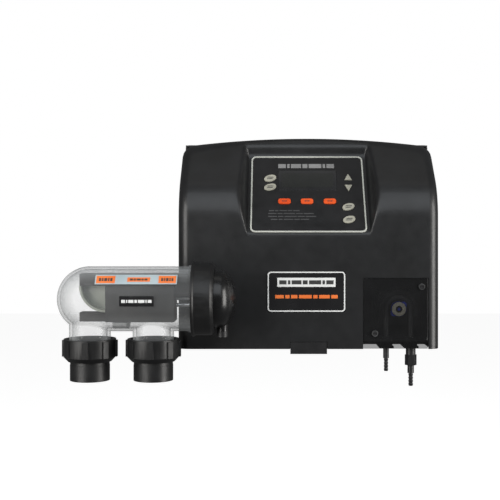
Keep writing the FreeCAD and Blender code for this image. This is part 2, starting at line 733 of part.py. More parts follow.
def make_hood_latch():
    body = new_body("LatchFace")
    face_front, arm_half = s.hood_front - 0.5, notch_half - 8
    face = rectangle(-face_front, s.box_bottom - s.latch_drop, s.wall - face_front,
                     s.box_bottom + s.notch_height - s.latch_gap)
    pad(body, draw(body, "YZ_Plane", "LatchFaceSide", face), s.latch_width - 2 * s.latch_gap, middle=True)
    arm = rectangle(1 - face_front, latch_pivot_z - 1.5, -latch_pivot_y, latch_pivot_z + 1.5)
    pad(body, draw(body, "YZ_Plane", "LatchArm", arm), 2 * arm_half, middle=True)
    pivot = rod("LatchPivot", (1.6 - notch_half, -latch_pivot_y, latch_pivot_z), 2, s.latch_width - 3.2,
                "+x")
    keep(join("HoodLatch", body, pivot), "hood_latch")


# ---------------------------------------------------------------- control panel
def oval(x, y, half_long, half_short, lean):
    """Four arcs that make an oval, its long axis leaning up to the right."""
    end = half_short * half_short / half_long * 1.25
    along = half_long - end
    side = (along * along + half_short * half_short - end * end) / (2 * (half_short - end))
    across = along + end * along / (side - end)
    up = end * (side - half_short) / (side - end)
    corners = []
    for sign_x, sign_y, radius in ((1, 1, side), (-1, 1, end), (-1, -1, side), (1, -1, end)):
        px, py = sign_x * across, sign_y * up
        corners.append((x + px * cos_of(lean) - py * sin_of(lean),
                        y + px * sin_of(lean) + py * cos_of(lean), radius))
    return corners


def key_outline(kind, x, y, spread):
    """A key's outline, larger all round by spread."""
    if kind == "oval":
        return oval(x, y, s.oval_long / 2 + spread, s.oval_short / 2 + spread, s.oval_lean)
    if kind == "bar":
        half_x, half_y = s.bar_long / 2 + spread, s.bar_short / 2 + spread
        return rounded(x - half_x, y - half_y, x + half_x, y + half_y, 4 + spread)
    point = 1 if kind == "up" else -1
    half, low = s.arrow_side / 2 + 1.8 * spread, s.arrow_side * 0.52 + spread
    tip = y + point * (low + 2 * spread)
    corners = [(x - half, y - point * low), (x + half, y - point * low), (x, tip)]
    return corners if point > 0 else corners[::-1]


KEYS = [(name, kind, x, s.panel_height * share) for name, kind, x, share in (
    ("key_menu", "oval", -62, 0.7), ("key_back", "oval", -62, 0.58125),
    ("key_up", "up", 68, 0.715625), ("key_down", "down", 68, 0.56875),
    ("key_filter", "bar", -38.5, 0.39375), ("key_timer", "bar", -1.5, 0.39375),
    ("key_chlorine", "bar", 36, 0.39375), ("key_light", "oval", 66, 0.321875),
    ("key_dosing", "oval", 66, 0.159375))]


def panel_pad(name, low, high, *outlines):
    """A flat piece of the panel between two heights over the recess floor."""
    body = new_body(name)
    pad(body, draw(body, "XY_Plane", name + "_outline", *outlines), as_size(high) - low)
    return panel_frame(body, as_size(low))


def panel_rectangle(edge, corner):
    """The panel's outline, smaller by edge."""
    return rounded(edge - panel_half, edge, panel_half - edge, s.panel_height - edge, corner)


window_y = s.panel_height * 0.675   # middle of the display window


def window_rectangle(spread):
    half_x, half_y = s.window_width / 2 + spread, s.window_height / 2 + spread
    return rectangle(-half_x, window_y - half_y, half_x, window_y + half_y)


def make_panel():
    trim = panel_pad("PanelTrim", 0, s.trim_height, panel_rectangle(as_size(0), s.panel_corner),
                     panel_rectangle(s.trim_width, s.panel_corner - s.trim_width))
    keep(trim, "panel_trim")
    holes = [key_outline(kind, x, y, s.key_gap) for name, kind, x, y in KEYS]
    plate_outline = panel_rectangle(s.trim_width, s.panel_corner - s.trim_width)
    keep(panel_pad("PanelPlate", 0, s.panel_plate, plate_outline, window_rectangle(as_size(0)), *holes),
         "panel_plate")
    keep(panel_pad("DisplayWindow", 0.2, s.panel_plate, window_rectangle(as_size(-0.1))), "display_window")
    keep(panel_pad("DisplayModule", -board_depth, -0.3, window_rectangle(as_size(1.5))), "display_module")
    for name, kind, x, y in KEYS:
        make_key(name, kind, x, y)

    board_edge = 3
    board = panel_pad("ControlBoardPlate", -board_depth - s.board_gauge, -board_depth,
                      panel_rectangle(board_edge, as_size(4)),
                      *[circle(x, y, 1.6) for x, y in board_posts()])
    switches = [panel_pad("Switch", -board_depth, -key_foot - 1, rectangle(x - 3, y - 3, x + 3, y + 3))
                for name, kind, x, y in KEYS]
    keep(join("ControlBoard", board, *switches), "control_board")
    screws = []
    back = -board_depth - s.board_gauge
    for x, y in board_posts():
        head = panel_pad("ScrewHead", back - 1.8, back, circle(x, y, 2.6))
        shank = panel_pad("ScrewShank", back - 0.5, -board_depth + 5, circle(x, y, 1.2))
        screws.append(join("ControlBoardScrew", head, shank))
    keep(group("ControlBoardScrews", *screws), "control_board_screws")


board_depth = 8 + s.wall    # control board's front below the recess floor
key_foot = 8                # end of a key's stem below the recess floor


def make_key(name, kind, x, y):
    """Cap, the flange that holds it behind the fascia, and the stem over its switch."""
    cap = panel_pad(name + "_cap", -1, s.panel_plate + s.key_height, key_outline(kind, x, y, as_size(0)))
    flange = panel_pad(name + "_flange", -1.55, -0.05, key_outline(kind, x, y, as_size(1.3)))
    stem = panel_pad(name + "_stem", -key_foot, -1, circle(x, y, 2.5))
    keep(join(name + "_whole", cap, flange, stem), name)


def make_badge():
    body = new_body("BadgePlate")
    half_x, half_z = s.badge_width / 2, s.badge_height / 2
    pad(body, draw(body, "XZ_Plane", "BadgeOutline", rounded(-half_x, -half_z, half_x, half_z, 6)),
        s.badge_gauge)
    keep(place(body, s.badge_x, -s.hood_front, s.badge_level), "badge_plate")


# ---------------------------------------------------------------- pump cover
def make_pump_cover():
    body = new_body("PumpCoverSheet")
    front, gauge, gap = s.hood_front, s.cover_gauge, s.cover_gap
    knee = s.box_bottom + s.cover_bevel
    side = [(-front, s.cover_top - gap), (-front, knee), (s.cover_bevel / 2 - front, s.box_bottom),
            (s.cover_bevel / 2 + gauge - front, s.box_bottom), (gauge - front, knee + 1), (gauge - front,
                                                                                           s.cover_top - gap)]
    pad(body, draw(body, "YZ_Plane", "PumpCoverSide", side), s.cover_right - s.cover_left - 2 * gap,
        middle=True)
    place(body, (s.cover_left + s.cover_right) / 2, 0, 0)
    holes = [rod("CoverHole", (x, -front - PAST, z), s.screw_shank + 0.3, gauge + 2 * PAST, "+y")
             for x, z in cover_screws()]
    keep(cut("PumpCover", body, *holes), "pump_cover")
    for (x, z), name in zip(cover_screws(), ("cover_screw_upper", "cover_screw_lower")):
        head = rod("ScrewHead", (x, -front - 2.2, z), s.screw_head, 2.2, "+y")
        shank = rod("ScrewShank", (x, -front - 1, z), s.screw_shank - 0.1, 4 * s.wall, "+y")
        slot = block("ScrewSlot", (x - 2 * s.screw_head, -front - 2.2 - PAST, z - 0.6),
                     (4 * s.screw_head, 1 + PAST, 1.2))
        keep(cut(name + "_slotted", join(name + "_whole", head, shank), slot), name)


# ---------------------------------------------------------------- inside the controller
board_front = box_back + s.board_post + s.board_gauge   # main board's front from the wall


def make_main_board():
    board = block("MainBoardPlate", (s.board_x - s.board_width / 2, -board_front,
                                     s.board_level - s.board_height / 2),
                  (s.board_width, s.board_gauge, s.board_height))
    holes = [rod("MainBoardHole", (x, -board_front - PAST, z), 1.6, s.board_gauge + 2 * PAST, "+y")
             for x, z in main_board_screws()]
    keep(cut("MainBoard", board, *holes), "main_board")
    screws = [join("BoardScrew", rod("BoardScrewHead", (x, -board_front, z), 2.6, 1.8, "-y"),
                   rod("BoardScrewShank", (x, -board_front - 0.5, z), 1.2, 8, "+y")) for x,
              z in main_board_screws()]
    keep(group("BoardScrews", *screws), "board_screws")

    # capacitors, relays, heat sink and terminal block, from the board's lower left corner
    left, low = s.board_x - s.board_width / 2, s.board_level - s.board_height / 2
    pieces = [rod("Capacitor", (left + x, -board_front, low + z), radius, height, "-y")
              for x, z, radius, height in ((30, 30, 11, 30), (58, 30, 11, 30), (84, 24, 6, 14), (100, 24, 6,
                                                                                                 14))]
    pieces += [block("Relay", (left + x, -board_front - 15, low + z), (19, 15, 15))
               for x, z in ((130, 18), (156, 18), (182, 18))]
    sink = block("HeatSinkBase", (left + 22, -board_front - 4, low + 70), (90, 4, 52))
    fins = [block("HeatSinkFin", (left + 22 + 8 * n, -board_front - 28, low + 70), (2, 25,
                                                                                    52)) for n in range(12)]
    pieces.append(join("HeatSink", sink, *fins))
    pieces.append(block("TerminalBlock", (left + 130, -board_front - 12, low + 110), (60, 12, 14)))
    keep(group("BoardComponents", *pieces), "board_components")


def make_transformer():
    seat = (s.toroid_x, -box_back, s.toroid_level)
    ring = rod("ToroidWound", seat, s.toroid_radius, s.toroid_height, "-y")
    hole = rod("ToroidHole", (s.toroid_x, -box_back + PAST, s.toroid_level), s.toroid_bore,
               s.toroid_height + 2 * PAST, "-y")
    keep(cut("Transformer", ring, hole), "transformer")
    face = box_back + s.toroid_height
    dish = rod("ClampDish", (s.toroid_x, -face, s.toroid_level), s.toroid_bore + 8, 2, "-y")
    bolt = rod("ClampBolt", seat, 4, s.toroid_height + 8, "-y")
    nut = doc.addObject("Part::Prism", "ClampNut")
    bind(nut, "Circumradius", 7.5)
    bind(nut, "Height", 6)
    place(nut, s.toroid_x, -face - 1, s.toroid_level, turn=TURNS["-y"])
    keep(join("TransformerClamp", dish, bolt, nut), "transformer_clamp")


entry_level = s.box_bottom + s.entry_rise      # ceiling of the cable entry


def hexagon(name, x, y, z, radius, height):
    prism = doc.addObject("Part::Prism", name)
    bind(prism, "Circumradius", radius)
    bind(prism, "Height", height)
    return place(prism, x, y, z)


def make_floor_fittings():
    """Cable glands, probe sockets and the power outlet in the rear box's floor."""
    places = {name: (x, y, radius) for name, x, y, radius in gland_places()}
    glands = []
    for name in ("mains", "cell"):
        x, y, radius = places[name]
        dome = rod("GlandDome", (x, y, entry_level - 18), s.gland_radius - 1.5, 12)
        collar = hexagon("GlandCollar", x, y, entry_level - 8, s.gland_radius, 8)
        thread = rod("GlandThread", (x, y, entry_level - 1), radius, s.wall + 8)
        nut = hexagon("GlandNut", x, y, entry_level + s.wall, s.gland_radius, 5)
        bore = rod("GlandBore", (x, y, entry_level - 20), s.cable_bore, 40)
        glands.append(cut("CableGland", join("CableGlandWhole", dome, collar, thread, nut), bore))
    keep(group("CableGlands", *glands), "cable_glands")
    sockets = []
    for name in ("probe_1", "probe_2"):
        x, y, radius = places[name]
        shell = join("ProbeSocket", rod("SocketFlange", (x, y, entry_level - 3), radius + 3, 3),
                     rod("SocketShell", (x, y, entry_level - 12), radius - 0.2, 11),
                     rod("SocketThread", (x, y, entry_level - 1), radius, s.wall + 6))
        sockets.append(cut("ProbeSocketBored", shell, rod("SocketBore", (x, y, entry_level - 14), 2, 12)))
    keep(group("ProbeSockets", *sockets), "probe_sockets")
    x, y, radius = places["outlet"]
    outlet = join("Outlet", rod("OutletRim", (x, y, entry_level - 3), radius + 4, 3),
                  rod("OutletBody", (x, y, entry_level - 1), radius, 24))
    well = rod("OutletWell", (x, y, entry_level - 5), radius - 3, 15)
    keep(cut("PowerOutlet", outlet, well), "power_outlet")


# ---------------------------------------------------------------- dosing pump
def make_pump():
    x, level = s.pump_x, s.pump_level
    reach, back = s.track_radius + s.track_wall, s.pump_face - s.head_depth
    drop = 12     # the track's straight ends below the rotor's axis

    head = new_body("PumpHead")
    outline = [(-reach, -drop), (reach, -drop), (reach, 0, reach), (0, reach, reach), (-reach, 0)]
    pad(head, draw(head, "XZ_Plane", "HeadOutline", outline), s.head_depth)
    track = s.track_radius
    channel = [(-track, -drop - PAST), (track, -drop - PAST), (track, 0, track), (0, track, track), (-track,
                                                                                                     0)]
    # the track starts in front of the back plate
    sunk = bind(draw(head, "XZ_Plane", "HeadTrack", channel), "AttachmentOffset.Base.z", s.wall)
    pocket(head, sunk, s.head_depth - s.wall, reverse=True)
    place(head, x, -back, level)
    keep(cut("PumpHousing", head, rod("HeadShaftHole", (x, PAST - back, level), 4, s.wall + 2 * PAST,
                                      "-y")),
         "pump_housing")

    gauge, low = s.bracket_gauge - 0.5, level - s.motor_radius - 8
    plate = block("BracketFace", (x - reach, -back, low), (2 * reach, gauge, 2 * s.motor_radius + 16))
    arms = [block("BracketArm", (x + side * (reach - gauge / 2) - gauge / 2, -back, low),
                  (gauge, back - box_back, 2 * s.motor_radius + 16)) for side in (-1, 1)]
    tabs = [block("BracketTab", (x + side * (reach + 5) - 7, -box_back - gauge, low),
                  (14, gauge, 2 * s.motor_radius + 16)) for side in (-1, 1)]
    hole = rod("BracketHole", (x, -back - PAST, level), 7, 2.5 + 2 * PAST, "+y")
    keep(cut("PumpBracket", join("PumpBracketWhole", plate, *arms, *tabs), hole), "pump_bracket")

    seat = 2.5 - back
    gearbox = rod("GearBox", (x, seat, level), s.motor_radius, s.motor_length * 0.4, "+y")
    can = rod("MotorCan", (x, seat, level), s.motor_radius * 0.86, s.motor_length, "+y")
    well = rod("ShaftWell", (x, seat - PAST, level), 3.2, 14, "+y")
    keep(cut("PumpMotor", join("PumpMotorWhole", gearbox, can), well), "pump_motor")

    shaft = rod("MotorShaft", (x, 10 + seat, level), 3, s.pump_face - 4 - back + 2.5 + 10, "-y")
    keep(shaft, "pump_shaft")

    # rotor: two discs on a spine, the rollers between them on pins
    disc, roller = 1.4, s.roller_length
    front = -s.pump_face
    spine = rod("RotorSpine", (x, front, level), roller_orbit - s.roller_radius - 0.4,
                roller + 2 * disc + 0.6, "+y")
    near = rod("RotorFront", (x, front, level), s.hub_radius, disc, "+y")
    far = rod("RotorBack", (x, front + disc + roller + 0.6, level), s.hub_radius, disc, "+y")
    bores = [rod("RotorPinBore", (px, front - PAST, pz), s.pin_radius, roller + 8, "+y") for px,
             pz in roller_places()]
    shaft_bore = rod("RotorShaftBore", (x, front + 4, level), 3, roller + 8, "+y")
    keep(cut("PumpRotor", join("PumpRotorWhole", spine, near, far), shaft_bore, *bores), "pump_rotor")
    pins = [rod("RollerPin", (px, front, pz), s.pin_radius, roller + 2 * disc + 0.6, "+y") for px,
            pz in roller_places()]
    keep(group("RollerPins", *pins), "roller_pins")
    for number, (px, pz) in enumerate(roller_places(), 1):
        body = rod("RollerBody", (px, front + disc + 0.3, pz), s.roller_radius, roller, "+y")
        bore = rod("RollerBore", (px, front - PAST, pz), s.pin_radius + 0.15, roller + 8, "+y")
        keep(cut(f"PumpRoller{number}", body, bore), f"pump_roller_{number}")


# roller axes from the rotor's axis
roller_orbit = leg_reach - s.tube_radius - s.roller_gap - s.roller_radius


def roller_places():
    """Centres of the two rollers."""
    return [(s.pump_x + side * roller_orbit * cos_of(s.roller_turn),
             s.pump_level + side * roller_orbit * sin_of(s.roller_turn))
            for side in (1, -1)]


def make_pump_tube():
    """The squeeze tube: half a turn over the rotor and two legs down to the connectors."""
    body = new_body("PumpTubeBody")
    rings = (circle(leg_reach, 0, s.tube_radius), circle(leg_reach, 0, s.tube_bore))
    bend = revolve(body, draw(body, "XY_Plane", "TubeBend", *rings), "V_Axis")
    bend.Angle = 180
    bend.Reversed = True
    legs = [circle(side * leg_reach, 0, radius) for side in (-1, 1) for radius in (s.tube_radius,
                                                                                   s.tube_bore)]
    pad(body, draw(body, "XY_Plane", "TubeLegs", *legs), s.pump_level - connector_top, reverse=True)
    keep(place(body, s.pump_x, -tube_plane, s.pump_level), "pump_tube")


connector_top = s.box_bottom + s.connector_height + s.wall


def barb_section(top, radius, root, pitch, ridges, bore):
    """Half section of a barbed spigot from its top down to its tip, closed along its bore."""
    corners = [(bore, top), (root, top)]
    for n in range(ridges):
        corners += [(root, top - pitch * n - 1.5), (radius, top - pitch * n - 1.6)]
        corners.append((root, top - pitch * (n + 1)))
    tip = corners[-1][1]
    return corners[:-1] + [(root, tip), (bore, tip)]


def make_connector(name, x, barb_radius, root, stem_radius, stem, valve):
    """Block on the floor with a spigot up into the tube, and the stem and barb below the floor."""
    half = s.connector_width / 2
    base = block(name + "Block", (x - half, -tube_plane - s.connector_depth / 2, floor_top),
                 (s.connector_width, s.connector_depth, s.connector_height))
    spigot = rod(name + "Spigot", (x, -tube_plane, connector_top - 1), s.tube_bore, 9)
    under = s.box_bottom - valve
    through = rod(name + "Through", (x, -tube_plane, under), stem_radius, connector_top - under - 1)
    shank = rod(name + "Stem", (x, -tube_plane, under - stem), stem_radius, stem + 1)
    barb = turned(name + "Barb", "V_Axis", barb_section(as_size(0), barb_radius, root, s.barb_pitch, 4,
                                                        as_size(1.5)))
    place(barb, x, -tube_plane, under - stem)
    bore = rod(name + "Bore", (x, -tube_plane, under - stem - PAST), 1.5, connector_top - under + stem + 12)
    return cut(name + "Bored", join(name + "Whole", base, spigot, through, shank, barb), bore)


def make_connectors():
    left, right = s.pump_x - leg_reach, s.pump_x + leg_reach
    keep(make_connector("LeftConnector", left, s.barb_radius, s.barb_root, s.stem_radius, s.stem_length,
                        as_size(0)),
         "suction_barb")
    keep(make_connector("RightConnector", right, s.barb_radius + 0.3, s.barb_root + 0.3,
                        s.stem_radius + 0.6,
                        s.valve_stem, s.valve_length), "injection_barb")
    valve = hexagon("ValveHexagon", right, -tube_plane, s.box_bottom - s.valve_length, s.valve_radius,
                    s.valve_length * 0.6)
    upper = rod("ValveUpper", (right, -tube_plane, s.box_bottom - s.valve_length * 0.5),
                s.valve_radius * 0.82,
                s.valve_length * 0.5)
    bore = rod("ValveBore", (right, -tube_plane, s.box_bottom - s.valve_length - PAST), s.stem_radius + 0.6,
               s.valve_length + 2 * PAST)
    keep(cut("CheckValve", join("CheckValveWhole", valve, upper), bore), "check_valve")


# ---------------------------------------------------------------- cell
ring_end = s.ring_start + s.ring_length       # ring's closed end, from the outlet port's axis
inner_radius = s.shell_radius - s.shell_wall
thread_radius = s.shell_radius + s.thread_rise
ring_radius = thread_radius + s.ring_gap + s.ring_wall
cap_radius = inner_radius - s.cap_step
cap_start = s.shell_length                    # cap's flange stands on the housing's open end
port_end = -s.port_drop


def cell_place(thing, x=0, y=0, z=0):
    """Places a piece made about the outlet port's axis and the cell's own axis."""
    return place(thing, s.cell_x + x, y - s.cell_setback, s.cell_level + z)


def cell_rod(name, start, radius, length, way="+x"):
    x, y, z = start
    return rod(name, (s.cell_x + x, y - s.cell_setback, s.cell_level + z), radius, length, way)


def cell_turned(name, corners):
    """A piece turned about the cell's own axis."""
    body = new_body(name)
    revolve(body, draw(body, "XZ_Plane", name + "_section", corners), "H_Axis")
    return cell_place(body)


def ball(name, radius):
    sphere = doc.addObject("Part::Sphere", name)
    bind(sphere, "Radius", radius)
    return cell_place(sphere)


def make_cell_housing():
    ports = (as_size(0), s.port_spacing)
    necks = [rod("PortNeck", (s.cell_x + x, -s.cell_setback, s.cell_level + port_end), s.port_radius,
                 s.port_drop)
             for x in ports]
    threads = [rod("PortThread", (s.cell_x + x, -s.cell_setback, s.cell_level + port_end), s.port_thread,
                   s.port_thread_length) for x in ports]
    outer = join("CellOuter", cell_rod("CellTube", (0, 0, 0), s.shell_radius, s.shell_length),
                 ball("CellDome", s.shell_radius),
                 cell_rod("CellThread", (s.shell_length - s.thread_length, 0, 0), thread_radius,
                          s.thread_length),
                 *necks, *threads)
    bores = [rod("PortBore", (s.cell_x + x, -s.cell_setback, s.cell_level + port_end - PAST), s.port_bore,
                 s.port_drop + PAST) for x in ports]
    inner = join("CellInner", cell_rod("CellBore", (0, 0, 0), inner_radius, s.shell_length + PAST),
                 ball("CellDomeInside", inner_radius), *bores)
    keep(cut("CellHousing", outer, inner), "cell_housing")
    divider = block("DividerBlock", (s.cell_x + s.port_spacing / 2 - s.divider / 2,
                                     -s.cell_setback - s.frame_depth / 2,
                                     s.cell_level - inner_radius - PAST),
                    (s.divider, s.frame_depth, inner_radius + PAST - s.frame_bottom - 0.6))
    within = cell_rod("DividerLimit", (0, 0, 0), inner_radius, s.shell_length)
    fitted = doc.addObject("Part::Common", "BaseDivider")
    fitted.Base, fitted.Tool = divider, within
    keep(fitted, "base_divider")


def make_locking_ring():
    bore, lip_bore = thread_radius + s.ring_gap, cap_radius + s.ring_gap
    seat = cap_start + s.cap_flange + 0.2
    bead, chamfer = 3, 5
    bead_radius = ring_radius + s.ring_bead
    keep(cell_turned("LockingRing", [
        (s.ring_start, bore), (seat, bore), (seat, lip_bore), (ring_end, lip_bore),
        (ring_end, ring_radius - chamfer), (ring_end - chamfer, ring_radius),
        (s.ring_start + bead + 2, ring_radius), (s.ring_start + bead, bead_radius),
        (s.ring_start, bead_radius)]), "locking_ring")


def make_electrode_cap():
    flange_end = cap_start + s.cap_flange
    dome_start = ring_end + s.cap_straight
    plug = inner_radius - s.plug_gap
    groove = cap_start - s.cap_plug / 2 - s.seal_section
    groove_end = groove + 2 * s.seal_section
    groove_floor = plug - 2 * s.seal_section
    body = cell_turned("CapBody", [
        (cap_start - s.cap_plug, 0), (cap_start - s.cap_plug, plug), (groove, plug),
        (groove, groove_floor), (groove_end, groove_floor), (groove_end, plug),
        (cap_start, plug), (cap_start, thread_radius), (flange_end, thread_radius),
        (flange_end, cap_radius), (dome_start, cap_radius), (dome_start, 0)])
    dome = doc.addObject("Part::Ellipsoid", "CapDome")
    bind(dome, "Radius1", s.cap_dome)
    bind(dome, "Radius2", cap_radius)
    bind(dome, "Radius3", cap_radius)
    dome.Angle1 = 0
    place(dome, s.cell_x + dome_start, -s.cell_setback, s.cell_level, turn=TURNS["+x"])
    outlet = rod("CapOutlet", (s.cell_x + outlet_x, -s.cell_setback, s.cell_level - s.outlet_drop + 9),
                 s.outlet_radius, s.outlet_drop - 9)
    hollow = cell_rod("CapHollow", (flange_end, 0, 0), cap_radius - s.cap_wall,
                      dome_start - flange_end + 8)
    cable = rod("CapCableHole", (s.cell_x + outlet_x, -s.cell_setback, s.cell_level - s.outlet_drop),
                s.cable_bore + 1.5, s.outlet_drop - 10)
    rods = [rod("CapTerminalHole", (s.cell_x + cap_start - s.cap_plug - PAST, -s.cell_setback,
                                    s.cell_level + z),
                s.terminal_radius, 50, "+x") for z in terminal_levels()]
    keep(cut("ElectrodeCap", join("ElectrodeCapWhole", body, dome, outlet), hollow, cable, *rods),
         "electrode_cap")

    seal = doc.addObject("Part::Torus", "CapSeal")
    bind(seal, "Radius1", plug - s.seal_section + 0.1)
    bind(seal, "Radius2", s.seal_section)
    place(seal, s.cell_x + groove + s.seal_section, -s.cell_setback, s.cell_level, turn=TURNS["+x"])
    keep(seal, "cap_seal")

    low = s.cell_level - s.outlet_drop
    nut = join("CapGlandWhole", rod("CapGlandNut", (s.cell_x + outlet_x, -s.cell_setback, low),
                                    s.outlet_radius, 9),
               rod("CapGlandSleeve", (s.cell_x + outlet_x, -s.cell_setback, low + 8), s.cable_bore + 1.5,
                   9))
    bore = rod("CapGlandBore", (s.cell_x + outlet_x, -s.cell_setback, low - PAST), s.cable_bore, 24)
    keep(cut("CapGland", nut, bore), "cap_gland")


outlet_x = ring_end + s.cap_straight + 5      # cable outlet's axis, from the outlet port's axis


def terminal_levels():
    """Levels of the two terminal rods about the cell's axis."""
    return (s.terminal_spacing * 0.1, -s.terminal_spacing)


def make_electrode():
    start, end = s.pack_start, s.pack_start + s.pack_length
    deck = s.frame_top - 17.5                  # top of the duct round the plates
    half = s.frame_depth / 2
    gauge = s.frame_gauge
    duct = cell_block("FrameDuct", start, -half, -s.frame_bottom, s.pack_length, s.frame_depth,
                      deck + s.frame_bottom)
    space = cell_block("FrameSpace", start - PAST, gauge - half, gauge - s.frame_bottom,
                       s.pack_length + 2 * PAST,
                       s.frame_depth - 2 * gauge, deck + s.frame_bottom - 2 * gauge)
    holder = cell_block("FrameHolder", start - 40.5, -14, deck - 1, s.pack_length + 40.5, 28,
                        s.frame_top - deck + 1)
    arm = cell_block("FrameArm", end - 1, -14, 5, cap_start - s.cap_plug - end + 1, 28, s.frame_top - 5)
    sill = cell_block("FrameSill", start - 41, -11, -s.frame_bottom, 42, 22, 14)
    keep(join("ElectrodeFrame", cut("FrameBox", duct, space), holder, arm, sill), "electrode_frame")

    count = int(s.plate_count.value)
    top = gauge - s.frame_bottom
    plates = [cell_block("Plate", start + 1, (n - (count - 1) / 2) * s.plate_pitch - s.plate_gauge / 2, top,
                         s.pack_length - 2, s.plate_gauge,
                         deck + s.frame_bottom - 2 * gauge) for n in range(count)]
    keep(group("ElectrodePlates", *plates), "electrode_plates")

    rods = [cell_rod("TerminalRod", (end + 0.5, 0, z), s.terminal_radius, cap_start + 4 - end)
            for z in terminal_levels()]
    keep(group("TerminalRods", *rods), "terminal_rods")


def make_flow_deflector():
    """A curved vane that turns the water from the inlet into the duct."""
    vane = new_body("FlowDeflector")
    left, right = s.pack_start - 40.5, s.pack_start - 0.3
    top, low = s.frame_top - 18.8, 14.5 - s.frame_bottom
    section = [(right, low), (right, low + s.vane_gauge, -s.vane_radius), (left + s.vane_gauge, top),
               (left, top, s.vane_radius + s.vane_gauge)]
    pad(vane, draw(vane, "XZ_Plane", "VaneSection", section), s.vane_width, middle=True)
    web = [(right, low + 1), (right, top), (left + 1, top, s.vane_radius + s.vane_gauge - 1)]
    pad(vane, draw(vane, "XZ_Plane", "VaneWeb", web), s.vane_web, middle=True)
    keep(cell_place(vane), "flow_deflector")


def cell_block(name, x, y, z, length, width, height):
    return block(name, (s.cell_x + x, y - s.cell_setback, s.cell_level + z), (length, width, height))


# ---------------------------------------------------------------- unions
def make_union(side, port_x):
    face = s.cell_level + port_end                    # port's end face, where the tail's flange meets it
    x, y = s.cell_x + port_x, -s.cell_setback
    flange_low = face - s.tail_flange_height
    relief_low = s.tail_bottom + s.spigot_length
    groove_in, groove_out = seal_mid - s.seal_section, seal_mid + s.seal_section
    groove = face - 2 * s.seal_section + 0.1

    tail = turned("UnionTail_" + side, "V_Axis", [
        (s.pipe_radius, s.tail_bottom), (s.spigot_radius, s.tail_bottom), (s.spigot_radius, relief_low),
        (s.spigot_radius - s.spigot_relief, relief_low), (s.spigot_radius - s.spigot_relief, flange_low),
        (s.tail_flange, flange_low), (s.tail_flange, face), (groove_out, face), (groove_out, groove),
                                                  (groove_in, groove),
        (groove_in, face), (s.tail_bore, face), (s.tail_bore, s.tail_bottom + s.pipe_depth),
        (s.pipe_radius, s.tail_bottom + s.pipe_depth)])
    keep(place(tail, x, y, 0), "union_tail_" + side)

    seal = doc.addObject("Part::Torus", "UnionSeal_" + side)
    bind(seal, "Radius1", seal_mid)
    bind(seal, "Radius2", s.seal_section - 0.1)
    keep(place(seal, x, y, groove + s.seal_section - 0.05), "union_seal_" + side)

    lip_low = flange_low - s.nut_lip
    bore, lip_bore = s.port_thread + s.nut_gap, s.spigot_radius + s.nut_gap
    nut = new_body("UnionNut_" + side)
    section = [(lip_bore, lip_low), (s.port_thread - 0.8, lip_low), (s.nut_radius, lip_low + 7),
               (s.nut_radius, lip_low + s.nut_height), (bore, lip_low + s.nut_height), (bore,
                                                                                        flange_low - 0.1),
               (lip_bore, flange_low - 0.1)]
    revolve(nut, draw(nut, "XZ_Plane", "NutSection_" + side, section), "V_Axis")
    rib = draw(nut, "XY_Plane", "NutRib_" + side,
               rectangle(s.nut_radius - 1.2, -s.rib_width / 2, s.nut_rib, s.rib_width / 2))
    bind(rib, "AttachmentOffset.Base.z", lip_low + 7)
    polar(nut, pad(nut, rib, s.nut_height - 9), "Z_Axis", s.nut_ribs)
    keep(place(nut, x, y, 0), "union_nut_" + side)


seal_mid = (s.port_bore + s.port_radius) / 2


def make_controller():
    make_wall_bracket()
    make_rear_box()
    make_hood()
    make_hood_seal()
    make_hood_latch()
    make_panel()
    make_badge()
    make_pump_cover()
    make_main_board()
    make_transformer()
    make_floor_fittings()
    make_pump()
    make_pump_tube()
    make_connectors()


def make_cell():
    make_cell_housing()
    make_locking_ring()
    make_electrode_cap()
    make_electrode()
    make_flow_deflector()
    make_union("left", as_size(0))
    make_union("right", s.port_spacing)


make_controller()
make_cell()


# ---------------------------------------------------------------- check and write
doc.recompute()
faults = []
for thing in doc.Objects:
    if {"Invalid", "Error"} & set(thing.State):
        faults.append(f"{thing.Name} ({thing.Label}): {thing.State}")
for thing in kept:
    if thing.Shape.isNull() or not thing.Shape.isValid():
        faults.append(f"{thing.Label}: its shape is empty or invalid")
if faults:
    raise RuntimeError("; ".join(faults))

os.makedirs("parts", exist_ok=True)
for thing in kept:
    thing.Shape.exportStep(f"parts/{thing.Label}.step")
    print(thing.Label, round(thing.Shape.Volume / 1000, 1), "cm3", len(thing.Shape.Solids), "solids")
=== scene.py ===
import json
import math
from math import cos, sin, sqrt, tan

import bmesh
import bpy
from mathutils import Matrix, Vector


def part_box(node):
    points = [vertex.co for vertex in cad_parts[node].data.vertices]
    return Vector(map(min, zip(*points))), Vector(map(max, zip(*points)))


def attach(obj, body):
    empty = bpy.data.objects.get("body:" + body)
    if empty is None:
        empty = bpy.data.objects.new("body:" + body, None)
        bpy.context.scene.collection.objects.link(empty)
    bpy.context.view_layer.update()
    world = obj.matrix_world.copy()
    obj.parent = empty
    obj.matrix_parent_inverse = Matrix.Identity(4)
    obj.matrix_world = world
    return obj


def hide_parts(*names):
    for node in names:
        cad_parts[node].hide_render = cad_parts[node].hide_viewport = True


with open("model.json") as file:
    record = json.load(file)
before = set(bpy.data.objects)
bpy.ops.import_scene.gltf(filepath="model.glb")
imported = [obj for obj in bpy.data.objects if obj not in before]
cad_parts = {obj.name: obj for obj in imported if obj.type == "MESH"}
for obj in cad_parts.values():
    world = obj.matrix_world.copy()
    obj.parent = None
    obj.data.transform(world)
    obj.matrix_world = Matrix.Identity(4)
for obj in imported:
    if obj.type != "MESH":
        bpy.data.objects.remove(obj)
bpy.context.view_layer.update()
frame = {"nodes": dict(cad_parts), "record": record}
mm = 0.001


# small tools for every piece

